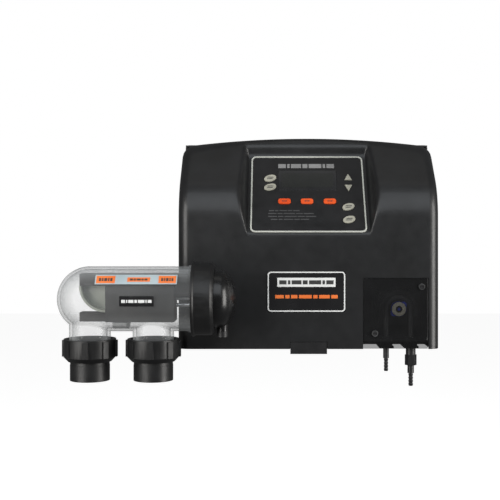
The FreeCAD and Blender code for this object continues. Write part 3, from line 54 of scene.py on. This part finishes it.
def openMesh(name, bm, smoothAngle=35):
    # turns a bmesh into a piece that stands at the origin
    mesh = bpy.data.meshes.new(name)
    bm.to_mesh(mesh)
    bm.free()
    mesh.shade_smooth()
    mesh.set_sharp_from_angle(angle=math.radians(smoothAngle))
    piece = bpy.data.objects.new(name, mesh)
    bpy.context.scene.collection.objects.link(piece)
    return piece


def addBevel(piece, width, segments=2, angle=35):
    soft = piece.modifiers.new("edgeBevel", "BEVEL")
    soft.width = width
    soft.segments = segments
    soft.limit_method = "ANGLE"
    soft.angle_limit = math.radians(angle)
    soft.harden_normals = True
    soft.use_clamp_overlap = True
    return soft


def dress(piece, material, body, slot, *nodes):
    piece.data.materials.clear()
    piece.data.materials.append(material)
    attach(piece, body)
    if nodes:
        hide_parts(*nodes)
    return piece


bodyOf = {node: body for body, nodes in frame["record"]["behaviour"]["bodies"].items() for node in nodes}
slotOf = {entry["node"]: entry["material_slot"] for entry in frame["record"]["subparts"]}


def coated(material, *nodes):
    # a CAD node that keeps its own shape
    for node in nodes:
        for place in frame["nodes"][node].material_slots:
            place.material = material


def refined(node, material, bevel, segments=2, angle=35):
    # a merged copy of a CAD node with its edges eased, which stands in for the node
    bm = bmesh.new()
    bm.from_mesh(frame["nodes"][node].data)
    bmesh.ops.remove_doubles(bm, verts=bm.verts, dist=0.01 * mm)
    bmesh.ops.dissolve_limit(bm, angle_limit=math.radians(0.6), verts=bm.verts, edges=bm.edges)
    piece = openMesh(node + "Piece", bm, angle)
    addBevel(piece, bevel, segments, angle)
    return dress(piece, material, bodyOf[node], slotOf[node], node)


def spun(bm, points, centre, axis, steps=96):
    # a closed ring from a half section: points are (radius, distance along the axis)
    axis = Vector(axis)
    across = axis.orthogonal().normalized()
    verts = [bm.verts.new(Vector(centre) + across * r + axis * d) for r, d in points]
    edges = [bm.edges.new((a, b)) for a, b in zip(verts, verts[1:] + verts[:1])]
    bmesh.ops.spin(bm, geom=verts + edges, cent=centre, axis=axis, angle=2 * math.pi,
                   steps=steps, use_merge=True, use_duplicate=False)


# materials

def newMaterial(name):
    material = bpy.data.materials.new(name)
    material.use_nodes = True
    nodes = material.node_tree.nodes
    return material, nodes, material.node_tree.links, nodes["Principled BSDF"]


def noiseTexture(nodes, links, scale, detail=4, stretch=None):
    place = nodes.new("ShaderNodeTexCoord")
    noise = nodes.new("ShaderNodeTexNoise")
    noise.inputs["Scale"].default_value = scale
    noise.inputs["Detail"].default_value = detail
    if stretch:
        mapping = nodes.new("ShaderNodeMapping")
        mapping.inputs["Scale"].default_value = stretch
        links.new(place.outputs["Object"], mapping.inputs["Vector"])
        links.new(mapping.outputs["Vector"], noise.inputs["Vector"])
    else:
        links.new(place.outputs["Object"], noise.inputs["Vector"])
    return noise.outputs["Fac"]


def spread(nodes, links, value, low, high, fromLow=0.35, fromHigh=0.65):
    reach = nodes.new("ShaderNodeMapRange")
    for label, number in (("From Min", fromLow), ("From Max", fromHigh), ("To Min", low), ("To Max", high)):
        reach.inputs[label].default_value = number
    links.new(value, reach.inputs["Value"])
    return reach.outputs["Result"]


def tinted(nodes, links, value, first, second):
    ramp = nodes.new("ShaderNodeValToRGB")
    ramp.color_ramp.elements[0].position = 0.35
    ramp.color_ramp.elements[0].color = (*first, 1)
    ramp.color_ramp.elements[1].position = 0.65
    ramp.color_ramp.elements[1].color = (*second, 1)
    links.new(value, ramp.inputs["Fac"])
    return ramp.outputs["Color"]


def addGrain(nodes, links, shader, scale, strength, distance=0.05 * mm, detail=3):
    bump = nodes.new("ShaderNodeBump")
    bump.inputs["Strength"].default_value = strength
    bump.inputs["Distance"].default_value = distance
    links.new(noiseTexture(nodes, links, scale, detail), bump.inputs["Height"])
    links.new(bump.outputs["Normal"], shader.inputs["Normal"])


def moulded(name, dark, light, gloss, grain=900, depth=0.12, coat=0.0, metallic=0.0):
    # moulded plastic: cloudy colour, uneven gloss and a fine spark-eroded grain
    material, nodes, links, shader = newMaterial(name)
    cloud = noiseTexture(nodes, links, 18, 5)
    links.new(tinted(nodes, links, cloud, dark, light), shader.inputs["Base Color"])
    uneven = spread(nodes, links, noiseTexture(nodes, links, 60, 6), gloss[0], gloss[1])
    links.new(uneven, shader.inputs["Roughness"])
    addGrain(nodes, links, shader, grain, depth)
    shader.inputs["Coat Weight"].default_value = coat
    shader.inputs["Coat Roughness"].default_value = 0.12
    shader.inputs["Metallic"].default_value = metallic
    return material


def clearPlastic(name, dark, light, rough, facing, edgeOn):
    # see-through moulding: thin where it faces the eye, denser along its outline
    material, nodes, links, shader = newMaterial(name)
    links.new(tinted(nodes, links, noiseTexture(nodes, links, 14, 4), dark, light), shader.inputs["Base Color"])
    rim = nodes.new("ShaderNodeLayerWeight")
    rim.inputs["Blend"].default_value = 0.35
    links.new(spread(nodes, links, rim.outputs["Facing"], facing, edgeOn, 0.1, 0.95), shader.inputs["Alpha"])
    uneven = spread(nodes, links, noiseTexture(nodes, links, 40, 5), rough[0], rough[1])
    links.new(uneven, shader.inputs["Roughness"])
    addGrain(nodes, links, shader, 24, 0.02, 0.2 * mm, 2)
    return material


finish = {
    "hood": moulded("hoodBlack", (0.009, 0.0093, 0.0098), (0.013, 0.0135, 0.0145), (0.36, 0.42), 1500, 0.01, 0.12),
    "box": moulded("boxBlack", (0.008, 0.008, 0.009), (0.012, 0.012, 0.013), (0.4, 0.52), 1400, 0.2),
    "fascia": moulded("fasciaBlack", (0.006, 0.0062, 0.007), (0.009, 0.009, 0.01), (0.3, 0.4), 1600, 0.06),
    "trim": moulded("trimCream", (0.48, 0.49, 0.45), (0.58, 0.59, 0.54), (0.25, 0.38), 900, 0.06),
    "window": moulded("windowSmoke", (0.012, 0.0125, 0.014), (0.017, 0.018, 0.02), (0.1, 0.18), 300, 0.02, 0.5),
    "keyBeige": moulded("keyBeige", (0.33, 0.325, 0.27), (0.42, 0.41, 0.34), (0.35, 0.5), 1200, 0.1),
    "keyOrange": moulded("keyOrange", (0.72, 0.075, 0.01), (0.85, 0.11, 0.015), (0.3, 0.42), 1200, 0.08),
    "printWhite": moulded("printWhite", (0.75, 0.76, 0.75), (0.86, 0.87, 0.86), (0.3, 0.4), 1500, 0.03),
    "printGrey": moulded("printGrey", (0.05, 0.05, 0.052), (0.075, 0.075, 0.078), (0.35, 0.45), 1500, 0.03),
    "printMid": moulded("printMid", (0.2, 0.2, 0.2), (0.27, 0.27, 0.27), (0.35, 0.45), 1500, 0.03),
    "printOrange": moulded("printOrange", (0.78, 0.16, 0.03), (0.9, 0.22, 0.05), (0.35, 0.45), 1500, 0.03),
    "printDark": moulded("printDark", (0.03, 0.03, 0.03), (0.05, 0.05, 0.05), (0.4, 0.5), 1500, 0.03),
    "labelBlue": moulded("labelBlue", (0.38, 0.47, 0.51), (0.46, 0.55, 0.58), (0.35, 0.45), 1500, 0.04),
    "badge": moulded("badgeBlack", (0.008, 0.008, 0.009), (0.012, 0.012, 0.013), (0.22, 0.3), 1500, 0.04, 0.3),
    "union": moulded("unionBlack", (0.005, 0.0051, 0.0055), (0.008, 0.0082, 0.0087), (0.38, 0.5), 1500, 0.05, 0.05),
    "cap": moulded("capBlack", (0.005, 0.0051, 0.0055), (0.008, 0.0082, 0.0087), (0.24, 0.32), 1500, 0.03, 0.15),
    "gland": moulded("glandBlack", (0.01, 0.01, 0.011), (0.015, 0.015, 0.016), (0.4, 0.55), 1200, 0.15),
    "barb": moulded("barbBlack", (0.007, 0.007, 0.008), (0.011, 0.011, 0.012), (0.35, 0.5), 1200, 0.12),
    "pumpBlue": moulded("pumpBlue", (0.03, 0.06, 0.55), (0.04, 0.09, 0.7), (0.25, 0.38), 900, 0.08, 0.2),
    "rotorCream": moulded("rotorCream", (0.78, 0.74, 0.6), (0.86, 0.82, 0.68), (0.3, 0.45), 1000, 0.1),
    "silicone": moulded("siliconeTube", (0.06, 0.06, 0.062), (0.09, 0.09, 0.092), (0.3, 0.4), 800, 0.1),
    "rubber": moulded("sealRubber", (0.01, 0.01, 0.01), (0.016, 0.016, 0.016), (0.6, 0.75), 1500, 0.3),
    "frameGrey": moulded("frameGrey", (0.012, 0.009, 0.008), (0.024, 0.022, 0.021), (0.3, 0.45), 700, 0.1),
    "dividerGrey": moulded("dividerGrey", (0.42, 0.43, 0.43), (0.55, 0.56, 0.56), (0.3, 0.4), 700, 0.08),
    "vane": moulded("vaneGreen", (0.3, 0.32, 0.27), (0.38, 0.4, 0.34), (0.3, 0.4), 700, 0.08),
    "steel": moulded("platedSteel", (0.5, 0.51, 0.52), (0.62, 0.63, 0.64), (0.28, 0.42), 1500, 0.1, 0.0, 1.0),
    "board": moulded("boardGreen", (0.015, 0.09, 0.045), (0.02, 0.12, 0.06), (0.35, 0.45), 800, 0.1),
    "copper": moulded("woundCopper", (0.5, 0.2, 0.08), (0.62, 0.28, 0.12), (0.3, 0.45), 500, 0.3, 0.2, 0.6),
    "clear": clearPlastic("clearAcrylic", (0.5, 0.52, 0.53), (0.62, 0.64, 0.65), (0.04, 0.09), 0.08, 0.68),
    "smoke": clearPlastic("smokedCover", (0.009, 0.0093, 0.0098), (0.014, 0.0145, 0.0155), (0.36, 0.42), 0.42, 0.97),
    "lcd": moulded("lcdGlass", (0.013, 0.0145, 0.014), (0.018, 0.0195, 0.019), (0.15, 0.25), 300, 0.02, 0.3),
    "plates": moulded("coatedPlates", (0.07, 0.025, 0.02), (0.12, 0.045, 0.035), (0.35, 0.5), 900, 0.2, 0.0, 0.3),
    "components": moulded("componentCans", (0.3, 0.31, 0.32), (0.5, 0.51, 0.53), (0.3, 0.45), 700, 0.1, 0.0, 0.6),
    "screw": moulded("screwSteel", (0.2, 0.205, 0.21), (0.3, 0.305, 0.31), (0.25, 0.4), 1500, 0.15, 0.0, 1.0),
}
print("materials made")


# hood: a sheet shaped over the front, bend and slope, with the panel's recess sunk into it

hoodLow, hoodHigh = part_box("hood")
hood = {
    "halfWidth": hoodHigh.x, "front": hoodLow.y, "back": hoodHigh.y, "bottom": hoodLow.z,
    "crownTop": hoodHigh.z, "crown": 11 * mm, "bendLevel": -9 * mm, "bendRadius": 84 * mm,
    "slope": math.radians(46.3), "corner": 22 * mm, "edge": 18 * mm, "wall": 3 * mm,
    "notchTop": hoodLow.z + 11.5 * mm, "notchHalf": 30 * mm,
}
panel = {
    "tilt": math.radians(37), "halfWidth": 94 * mm, "height": 160 * mm,
    "origin": Vector((0, hoodLow.y + 1 * mm, -34 * mm)), "border": 5 * mm, "draft": math.radians(20),
    "softLow": 2 * mm, "softHigh": 14 * mm, "softTop": 11 * mm,
}
coverLow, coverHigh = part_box("pump_cover")
panelUp = Vector((0, sin(panel["tilt"]), cos(panel["tilt"])))
panelOut = Vector((0, -cos(panel["tilt"]), sin(panel["tilt"])))


def onPanel(x, up, out=0.0):
    return panel["origin"] + Vector((x, 0, 0)) + panelUp * up + panelOut * out


def smoothMax(a, b, k):
    return 0.5 * (a + b + sqrt((a - b) ** 2 + k * k))


def skinDepth(z):
    # the hood's side profile: y of the outer face at level z
    bendTop = hood["bendLevel"] + hood["bendRadius"] * sin(hood["slope"])
    if z <= hood["bendLevel"]:
        return hood["front"]
    if z <= bendTop:
        return hood["front"] + hood["bendRadius"] - sqrt(hood["bendRadius"] ** 2 - (z - hood["bendLevel"]) ** 2)
    leanBack = hood["front"] + hood["bendRadius"] * (1 - cos(hood["slope"]))
    return leanBack + (z - bendTop) * tan(hood["slope"])


def topLevel(x):
    # the top edge seen from the front: a shallow crown between two round corners
    straight = hood["halfWidth"] - hood["corner"]
    sideTop = hood["crownTop"] - hood["crown"]
    if abs(x) <= straight:
        return sideTop + hood["crown"] * (1 - (x / straight) ** 2)
    return sideTop - hood["corner"] + sqrt(max(hood["corner"] ** 2 - (abs(x) - straight) ** 2, 0))


def edgeDistance(x, z):
    straight = hood["halfWidth"] - hood["corner"]
    cornerLevel = hood["crownTop"] - hood["crown"] - hood["corner"]
    if abs(x) > straight and z > cornerLevel:
        return hood["corner"] - math.hypot(abs(x) - straight, z - cornerLevel)
    return min(hood["halfWidth"] - abs(x), topLevel(x) - z)


def recessDepth(x, z):
    c, s, t = cos(panel["tilt"]), sin(panel["tilt"]), tan(panel["draft"])
    rise = z - panel["origin"].z
    floor = panel["origin"].y + rise * s / c
    side = floor - (abs(x) - panel["halfWidth"] - panel["border"]) / (t * c)
    upper = panel["origin"].y + (panel["height"] + panel["border"] - rise * (c - t * s)) / (s + t * c)
    shape = -smoothMax(-floor, -side, 3 * mm)
    return -smoothMax(-shape, -upper, panel["softTop"])


def hoodPoint(x, z):
    y = skinDepth(z)
    room = max(hood["back"] - skinDepth(topLevel(x)), 0)
    straight = hood["halfWidth"] - hood["corner"]
    radius = hood["edge"] if abs(x) > straight else min(hood["edge"], room)
    distance = max(edgeDistance(x, z), 0)
    if radius > 0 and distance < radius:
        y += radius - sqrt(radius ** 2 - (radius - distance) ** 2)
    share = min(max((z - panel["origin"].z) / (60 * mm), 0), 1)
    y = smoothMax(y, recessDepth(x, z), panel["softLow"] + (panel["softHigh"] - panel["softLow"]) * share)
    return Vector((x, min(y, hood["back"]), z))


def fromStations(value, stations):
    # stations are (place, number of strips up to it) along the sheet
    total = sum(count for place, count in stations[1:])
    step = value * total
    for (low, _), (high, count) in zip(stations, stations[1:]):
        if step <= count + 1e-6:
            share = step / count
            return low + (high - low) * share
        step -= count
    return stations[-1][0]


def makeHood():
    wallLine = panel["halfWidth"] + panel["border"]
    right = [(0, 0), (hood["notchHalf"], 5), (84 * mm, 8), (coverLow.x - 0.5 * mm, 1), (98 * mm, 4), (118 * mm, 26),
             (coverHigh.x + 0.5 * mm, 12), (hood["halfWidth"] - 0.02 * mm, 14)]
    up = [(hood["bottom"], 0), (hood["notchTop"], 3), (coverHigh.z + 0.5 * mm, 12), (-46 * mm, 8), (-28 * mm, 16),
          (62 * mm, 44), (1, 44)]
    half = sum(count for place, count in right[1:])
    rows = sum(count for place, count in up[1:])
    bm = bmesh.new()
    bmesh.ops.create_grid(bm, x_segments=2 * half, y_segments=rows, size=1)
    for vert in bm.verts:
        across, level = vert.co.x, (vert.co.y + 1) / 2
        x = math.copysign(fromStations(abs(across), right), across)
        z = fromStations(level, up[:-1] + [(topLevel(x), up[-1][1])])
        vert.co = hoodPoint(x, z)
    gone = []
    for face in bm.faces:
        middle = face.calc_center_median()
        local = middle - panel["origin"]
        underCover = coverLow.x - mm < middle.x < coverHigh.x + mm and middle.z < coverHigh.z + 0.5 * mm
        inNotch = abs(middle.x) < hood["notchHalf"] and middle.z < hood["notchTop"]
        underPanel = abs(middle.x) < 84 * mm and 11 * mm < local.dot(panelUp) < panel["height"] - 11 * mm
        if underCover or inNotch or (underPanel and abs(local.dot(panelOut)) < 4 * mm):
            gone.append(face)
    bmesh.ops.delete(bm, geom=gone, context="FACES")
    rim = [edge for edge in bm.edges if edge.is_boundary
           and all(edgeDistance(v.co.x, v.co.z) < 0.1 * mm or abs(v.co.x) > hood["halfWidth"] - 0.1 * mm for v in edge.verts)]
    walls = bmesh.ops.extrude_edge_only(bm, edges=rim)
    for vert in (v for v in walls["geom"] if isinstance(v, bmesh.types.BMVert)):
        vert.co.y = hood["back"]
    bmesh.ops.remove_doubles(bm, verts=bm.verts, dist=0.02 * mm)
    bmesh.ops.recalc_face_normals(bm, faces=bm.faces)
    lowest = min(bm.faces, key=lambda face: face.calc_center_median().y)
    if lowest.normal.y > 0:
        bmesh.ops.reverse_faces(bm, faces=bm.faces)
    piece = openMesh("hoodShell", bm, 50)
    wall = piece.modifiers.new("wall", "SOLIDIFY")
    wall.thickness = hood["wall"]
    wall.offset = -1
    wall.use_even_offset = False
    addBevel(piece, 0.6 * mm, 2, 60)
    return dress(piece, finish["hood"], "hood", "hood_black", "hood")


makeHood()
print("hood shaped")


# the other CAD pieces: seen ones get their edges eased, hidden ones a finish

easedPieces = {
    # node: finish, edge radius in mm
    "rear_box": ("box", 0.8), "hood_latch": ("box", 0.8), "panel_trim": ("trim", 0.8), "panel_plate": ("fascia", 0.3),
    "display_window": ("window", 0.3), "badge_plate": ("badge", 0.3), "pump_cover": ("smoke", 0.8),
    "cover_screw_upper": ("gland", 0.7), "cover_screw_lower": ("gland", 0.7), "wall_bracket": ("steel", 0.4),
    "pump_housing": ("box", 0.6), "pump_rotor": ("pumpBlue", 0.5), "pump_roller_1": ("pumpBlue", 0.5),
    "pump_roller_2": ("pumpBlue", 0.5), "suction_barb": ("barb", 0.3), "injection_barb": ("barb", 0.3),
    "check_valve": ("barb", 0.6), "cell_housing": ("clear", 0.6), "base_divider": ("dividerGrey", 0.3),
    "locking_ring": ("union", 1.0), "electrode_cap": ("cap", 0.8), "cap_gland": ("gland", 0.5),
    "electrode_frame": ("frameGrey", 0.5), "flow_deflector": ("vane", 0.4), "union_nut_left": ("union", 1.0),
    "union_nut_right": ("union", 1.0), "union_tail_left": ("union", 0.6), "union_tail_right": ("union", 0.6),
    "cable_glands": ("gland", 0.4), "probe_sockets": ("steel", 0.3), "power_outlet": ("gland", 0.4),
}
plainPieces = {
    "rubber": ["hood_seal", "cap_seal", "union_seal_left", "union_seal_right"],
    "board": ["control_board", "main_board"], "lcd": ["display_module"], "components": ["board_components"],
    "copper": ["transformer"], "silicone": ["pump_tube"], "plates": ["electrode_plates"],
    "steel": ["terminal_rods", "transformer_clamp"], "gland": ["pump_bracket", "pump_motor"],
    "screw": ["board_screws", "control_board_screws", "pump_shaft", "roller_pins"],
}
orangeKeys = ("key_filter", "key_timer", "key_chlorine")
for node, (look, radius) in easedPieces.items():
    refined(node, finish[look], radius * mm)
for look, nodes in plainPieces.items():
    coated(finish[look], *nodes)
for node in [name for name in bodyOf if name.startswith("key_")]:
    refined(node, finish["keyOrange" if node in orangeKeys else "keyBeige"], 0.35 * mm)
print("CAD pieces finished")


# small turned pieces on the pump: the rotor's hub cap and a bright ring on each cover screw

pumpTrim = {"hubRadius": 11.3 * mm, "hubRise": 1.6 * mm, "ringOuter": 4.9 * mm, "ringInner": 3.5 * mm, "ringRise": 0.4 * mm}


def turnedOn(node, look, name, points):
    # half section in (radius, height off the node's front face)
    low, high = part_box(node)
    bm = bmesh.new()
    spun(bm, points, ((low.x + high.x) / 2, low.y, (low.z + high.z) / 2), (0, -1, 0), 64)
    bmesh.ops.remove_doubles(bm, verts=bm.verts, dist=0.005 * mm)
    bmesh.ops.recalc_face_normals(bm, faces=bm.faces)
    return dress(openMesh(name, bm, 40), finish[look], bodyOf[node], slotOf[node])


r, h = pumpTrim["hubRadius"], pumpTrim["hubRise"]
turnedOn("pump_rotor", "rotorCream", "hubCap",
         [(r, 0.05 * mm), (r, h - 0.6 * mm), (r - 0.6 * mm, h), (0, h)])
turnedOn("pump_rotor", "pumpBlue", "hubDot", [(2.6 * mm, h), (2.4 * mm, h + 0.3 * mm), (0, h + 0.3 * mm)])
outer, inner, h = pumpTrim["ringOuter"], pumpTrim["ringInner"], pumpTrim["ringRise"]
for node in ("cover_screw_upper", "cover_screw_lower"):
    turnedOn(node, "screw", node + "Ring", [(inner, 0.02 * mm), (outer, 0.02 * mm), (outer - 0.2 * mm, h), (inner + 0.2 * mm, h)])
print("pump trim turned")


# printing: thin raised shapes laid on the fascia, the badge, the keys and the cell

printing = {"thick": 0.15 * mm, "lift": 0.02 * mm}


def patch(bm, x, up, width, height, corner=0.0, rows=1, line=0.0):
    # a flat rectangle with round corners, or only its outline where line is given
    old = set(bm.faces)
    made = bmesh.ops.create_grid(bm, x_segments=1, y_segments=rows, size=0.5)["verts"]
    for vert in made:
        vert.co = (x + vert.co.x * width, up + vert.co.y * height, 0)
    if corner:
        bmesh.ops.bevel(bm, geom=made, offset=corner, offset_type="OFFSET", affect="VERTICES",
                        segments=6, profile=0.5, material=-1)
    if line:
        inner = [face for face in bm.faces if face not in old]
        bmesh.ops.inset_region(bm, faces=inner, thickness=line, use_boundary=True, use_even_offset=True)
        bmesh.ops.delete(bm, geom=inner, context="FACES_ONLY")


def printed(name, look, body, slot, placer, patches):
    # each patch is the list of values that patch() takes
    bm = bmesh.new()
    for values in patches:
        patch(bm, *values)
    bmesh.ops.solidify(bm, geom=list(bm.faces), thickness=printing["thick"])
    for vert in bm.verts:
        out = printing["lift"] + (printing["thick"] if abs(vert.co.z) > printing["thick"] / 2 else 0)
        vert.co = placer(vert.co.x, vert.co.y, out)
    bmesh.ops.recalc_face_normals(bm, faces=bm.faces)
    return dress(openMesh(name, bm), finish[look], body, slot)


def topOf(node):
    # how far a panel piece stands out from the recess floor
    return max((v.co - panel["origin"]).dot(panelOut) for v in frame["nodes"][node].data.vertices)


def laidOn(node):
    top = topOf(node)
    return lambda x, up, out: onPanel(x, up, top + out)


def barRow(x, up, width, height, shares, gap):
    # a row of plain bars over a width, in the shares given
    whole = (width - gap * (len(shares) - 1)) / sum(shares)
    row = []
    left = x - width / 2
    for share in shares:
        row.append((left + whole * share / 2, up, whole * share, height))
        left += whole * share + gap
    return row


panelPrint = {
    # middle across, middle up the slope, width, height, in mm
    "header": (-1.5, 139, 94, 9),
    "notes": [(-39, 44, 50), (-28, 38, 74), (-26, 32, 78), (-30, 26, 62)],
}
x, up, width, height = (value * mm for value in panelPrint["header"])
printed("headerBars", "printMid", "hood", "fascia_black", laidOn("panel_plate"),
        barRow(x, up, width, height, (3, 1, 4, 2, 5, 1, 3), 2.2 * mm))
printed("noteBars", "printGrey", "hood", "fascia_black", laidOn("panel_plate"),
        [bar for x, up, width in panelPrint["notes"]
         for bar in barRow(x * mm, up * mm, width * mm, 2.2 * mm, (5, 3, 7, 4, 6), 1.6 * mm)])
printed("displayGlass", "lcd", "hood", "display_green", laidOn("display_window"),
        [(0, 108 * mm, 86 * mm, 30 * mm, 1.5 * mm)])


def keyMiddle(node):
    points = [v.co - panel["origin"] for v in frame["nodes"][node].data.vertices]
    top = max(p.dot(panelOut) for p in points)
    face = [p for p in points if p.dot(panelOut) > top - 0.05 * mm]
    across = [p.x for p in face]
    rise = [p.dot(panelUp) for p in face]
    return (min(across) + max(across)) / 2, (min(rise) + max(rise)) / 2


for node in [name for name in bodyOf if name.startswith("key_")]:
    x, up = keyMiddle(node)
    if node in orangeKeys:
        marks = barRow(x, up, 8 * mm, 2 * mm, (2, 1, 2), 0.8 * mm)
    elif node in ("key_up", "key_down"):
        marks = []
    else:
        marks = [(x + shift * mm, up + rise * mm, width * mm, 1.5 * mm)
                 for shift, rise, width in ((0.5, 1.6, 10), (-0.5, -1.6, 9))]
    if marks:
        printed(node + "Marks", "printDark", bodyOf[node], slotOf[node], laidOn(node), marks)
print("panel printed")

badgeLow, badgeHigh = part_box("badge_plate")
badge = {
    "middle": (badgeLow + badgeHigh) / 2, "front": badgeLow.y, "line": 1.9 * mm, "inset": 1 * mm, "corner": 5.5 * mm,
    "block": (15.0, 93, 14.6), "wave": (-8.0, 100, 10),  # height over the middle, width, height, in mm
}


def onBadge(x, up, out):
    return Vector((badge["middle"].x + x, badge["front"] - out, badge["middle"].z + up))


badgeSize = badgeHigh - badgeLow
printed("badgeOutline", "printWhite", "hood", "badge_black", onBadge,
        [(0, 0, badgeSize.x - 2 * badge["inset"], badgeSize.z - 2 * badge["inset"], badge["corner"], 1, badge["line"])])
up, width, height = (value * mm for value in badge["block"])
printed("badgeBlock", "printWhite", "hood", "badge_black", onBadge, [(0, up, width, height)])
printed("badgeBlockBars", "printDark", "hood", "badge_black", lambda x, up, out: onBadge(x, up, out + 0.16 * mm),
        barRow(0, up, width - 6 * mm, 6.5 * mm, (3, 1, 4, 2, 5, 1, 3), 2.2 * mm))
up, width, height = (value * mm for value in badge["wave"])
printed("badgeBars", "printOrange", "hood", "badge_black", onBadge,
        barRow(0, up, width, height * 0.55, (4, 2, 3, 6, 2, 5, 3), 2.4 * mm))
print("badge printed")

nutLow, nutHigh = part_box("union_nut_left")
cell = {
    "port": (nutLow.x + nutHigh.x) / 2, "axisY": (nutLow.y + nutHigh.y) / 2, "axisZ": -134 * mm, "radius": 49.5 * mm,
    "strip": (76, 31.4, 122.3, 13.5), "boxes": ((30.7, 28, 10.5), (79.9, 34, 6.2), (122.5, 26, 10.5)),
    "label": (77.9, -0.3, 51, 15.3),
}


def onCell(x, up, out):
    reach = cell["radius"] + out
    return Vector((cell["port"] + x, cell["axisY"] - sqrt(reach ** 2 - up ** 2), cell["axisZ"] + up))


x, up, width, height = (value * mm for value in cell["strip"])
printed("flowStrip", "labelBlue", "cell", "clear_acrylic", onCell, [(x, up, width, height, 0.0, 10)])
printed("flowBoxes", "printOrange", "cell", "clear_acrylic", lambda x, up, out: onCell(x, up, out + 0.17 * mm),
        [(x * mm, up, width * mm, height * mm, 0.0, 8) for x, width, height in cell["boxes"]])
printed("flowMarks", "printDark", "cell", "clear_acrylic", lambda x, up, out: onCell(x, up, out + 0.34 * mm),
        [bar for x, width, height in cell["boxes"]
         for bar in barRow(x * mm, up, (width - 8) * mm, height * 0.4 * mm, (3, 2, 4, 2, 3), 1.4 * mm)])
x, up, width, height = (value * mm for value in cell["label"])
printed("cellLabel", "badge", "cell", "clear_acrylic", onCell, [(x, up, width, height, 0.0, 6)])
printed("cellLabelBars", "printWhite", "cell", "clear_acrylic", lambda x, up, out: onCell(x, up, out + 0.17 * mm),
        barRow(x, up, width - 6 * mm, 4.5 * mm, (3, 1, 4, 2, 5, 1, 3), 1.4 * mm))
print("cell labels printed")


# floor, light and camera

roomLight = {"around": 0.11, "behind": 1.0}


def makeStage():
    bm = bmesh.new()
    bmesh.ops.create_grid(bm, x_segments=2, y_segments=2, size=6)
    bmesh.ops.translate(bm, verts=bm.verts, vec=(0, 2.0, -0.9))
    floor = openMesh("paleFloor", bm)
    material, nodes, links, shader = newMaterial("paleFloor")
    shader.inputs["Base Color"].default_value = (0.9, 0.9, 0.9, 1)
    shader.inputs["Roughness"].default_value = 0.9
    shader.inputs["Emission Color"].default_value = (1, 1, 1, 1)
    shader.inputs["Emission Strength"].default_value = 0.85
    floor.data.materials.append(material)
    floor.visible_glossy = floor.visible_diffuse = False
    world = bpy.data.worlds.new("studio")
    world.use_nodes = True
    # white behind the object, dim all round it, so that the black mouldings stay black
    links, nodes = world.node_tree.links, world.node_tree.nodes
    ray = nodes.new("ShaderNodeLightPath")
    seen = nodes.new("ShaderNodeMath")
    seen.operation = "MAXIMUM"
    links.new(ray.outputs["Is Camera Ray"], seen.inputs[0])
    links.new(ray.outputs["Is Transmission Ray"], seen.inputs[1])
    strength = nodes.new("ShaderNodeMapRange")
    strength.inputs["To Min"].default_value = roomLight["around"]
    strength.inputs["To Max"].default_value = roomLight["behind"]
    links.new(seen.outputs["Value"], strength.inputs["Value"])
    links.new(strength.outputs["Result"], nodes["Background"].inputs["Strength"])
    nodes["Background"].inputs["Color"].default_value = (1, 1, 1, 1)
    bpy.context.scene.world = world
    bpy.context.scene.view_settings.view_transform = "Standard"


softboxes = {
    # name: place, aim, width, height, power, colour
    "leftStrip": ((-1.25, -1.3, 0.1), (-0.2, -0.15, -0.05), 0.9, 1.5, 20, (1, 0.98, 0.95)),
    "rightStrip": ((1.5, -0.8, 0.0), (0.2, -0.15, -0.05), 0.8, 1.5, 26, (1, 0.98, 0.95)),
    "frontAbove": ((0, -1.7, 1.25), (0, -0.1, 0), 2.4, 1.5, 18, (0.9, 0.95, 1)),
    "overhead": ((0, -0.2, 1.8), (0, -0.1, 0), 1.6, 0.6, 1.2, (1, 0.97, 0.92)),
}


def makeLights():
    for name, (place, aim, width, height, power, colour) in softboxes.items():
        lamp = bpy.data.lights.new(name, "AREA")
        lamp.shape = "RECTANGLE"
        lamp.size, lamp.size_y, lamp.energy, lamp.color = width, height, power, colour
        holder = bpy.data.objects.new(name, lamp)
        holder.location = place
        holder.rotation_euler = (Vector(aim) - Vector(place)).to_track_quat("-Z", "Y").to_euler()
        bpy.context.scene.collection.objects.link(holder)


def makeCamera():
    camera = bpy.data.cameras.new("camera")
    camera.sensor_width = 36
    camera.lens = 70.6
    camera.shift_x = -0.05
    camera.shift_y = -0.05
    camera.clip_start = 0.05
    holder = bpy.data.objects.new("camera", camera)
    holder.location = (-0.054, -1.735, -0.0213)
    holder.rotation_euler = (math.radians(90), 0, 0)
    bpy.context.scene.collection.objects.link(holder)
    bpy.context.scene.camera = holder


makeStage()
makeLights()
makeCamera()
print("stage, lights and camera set")
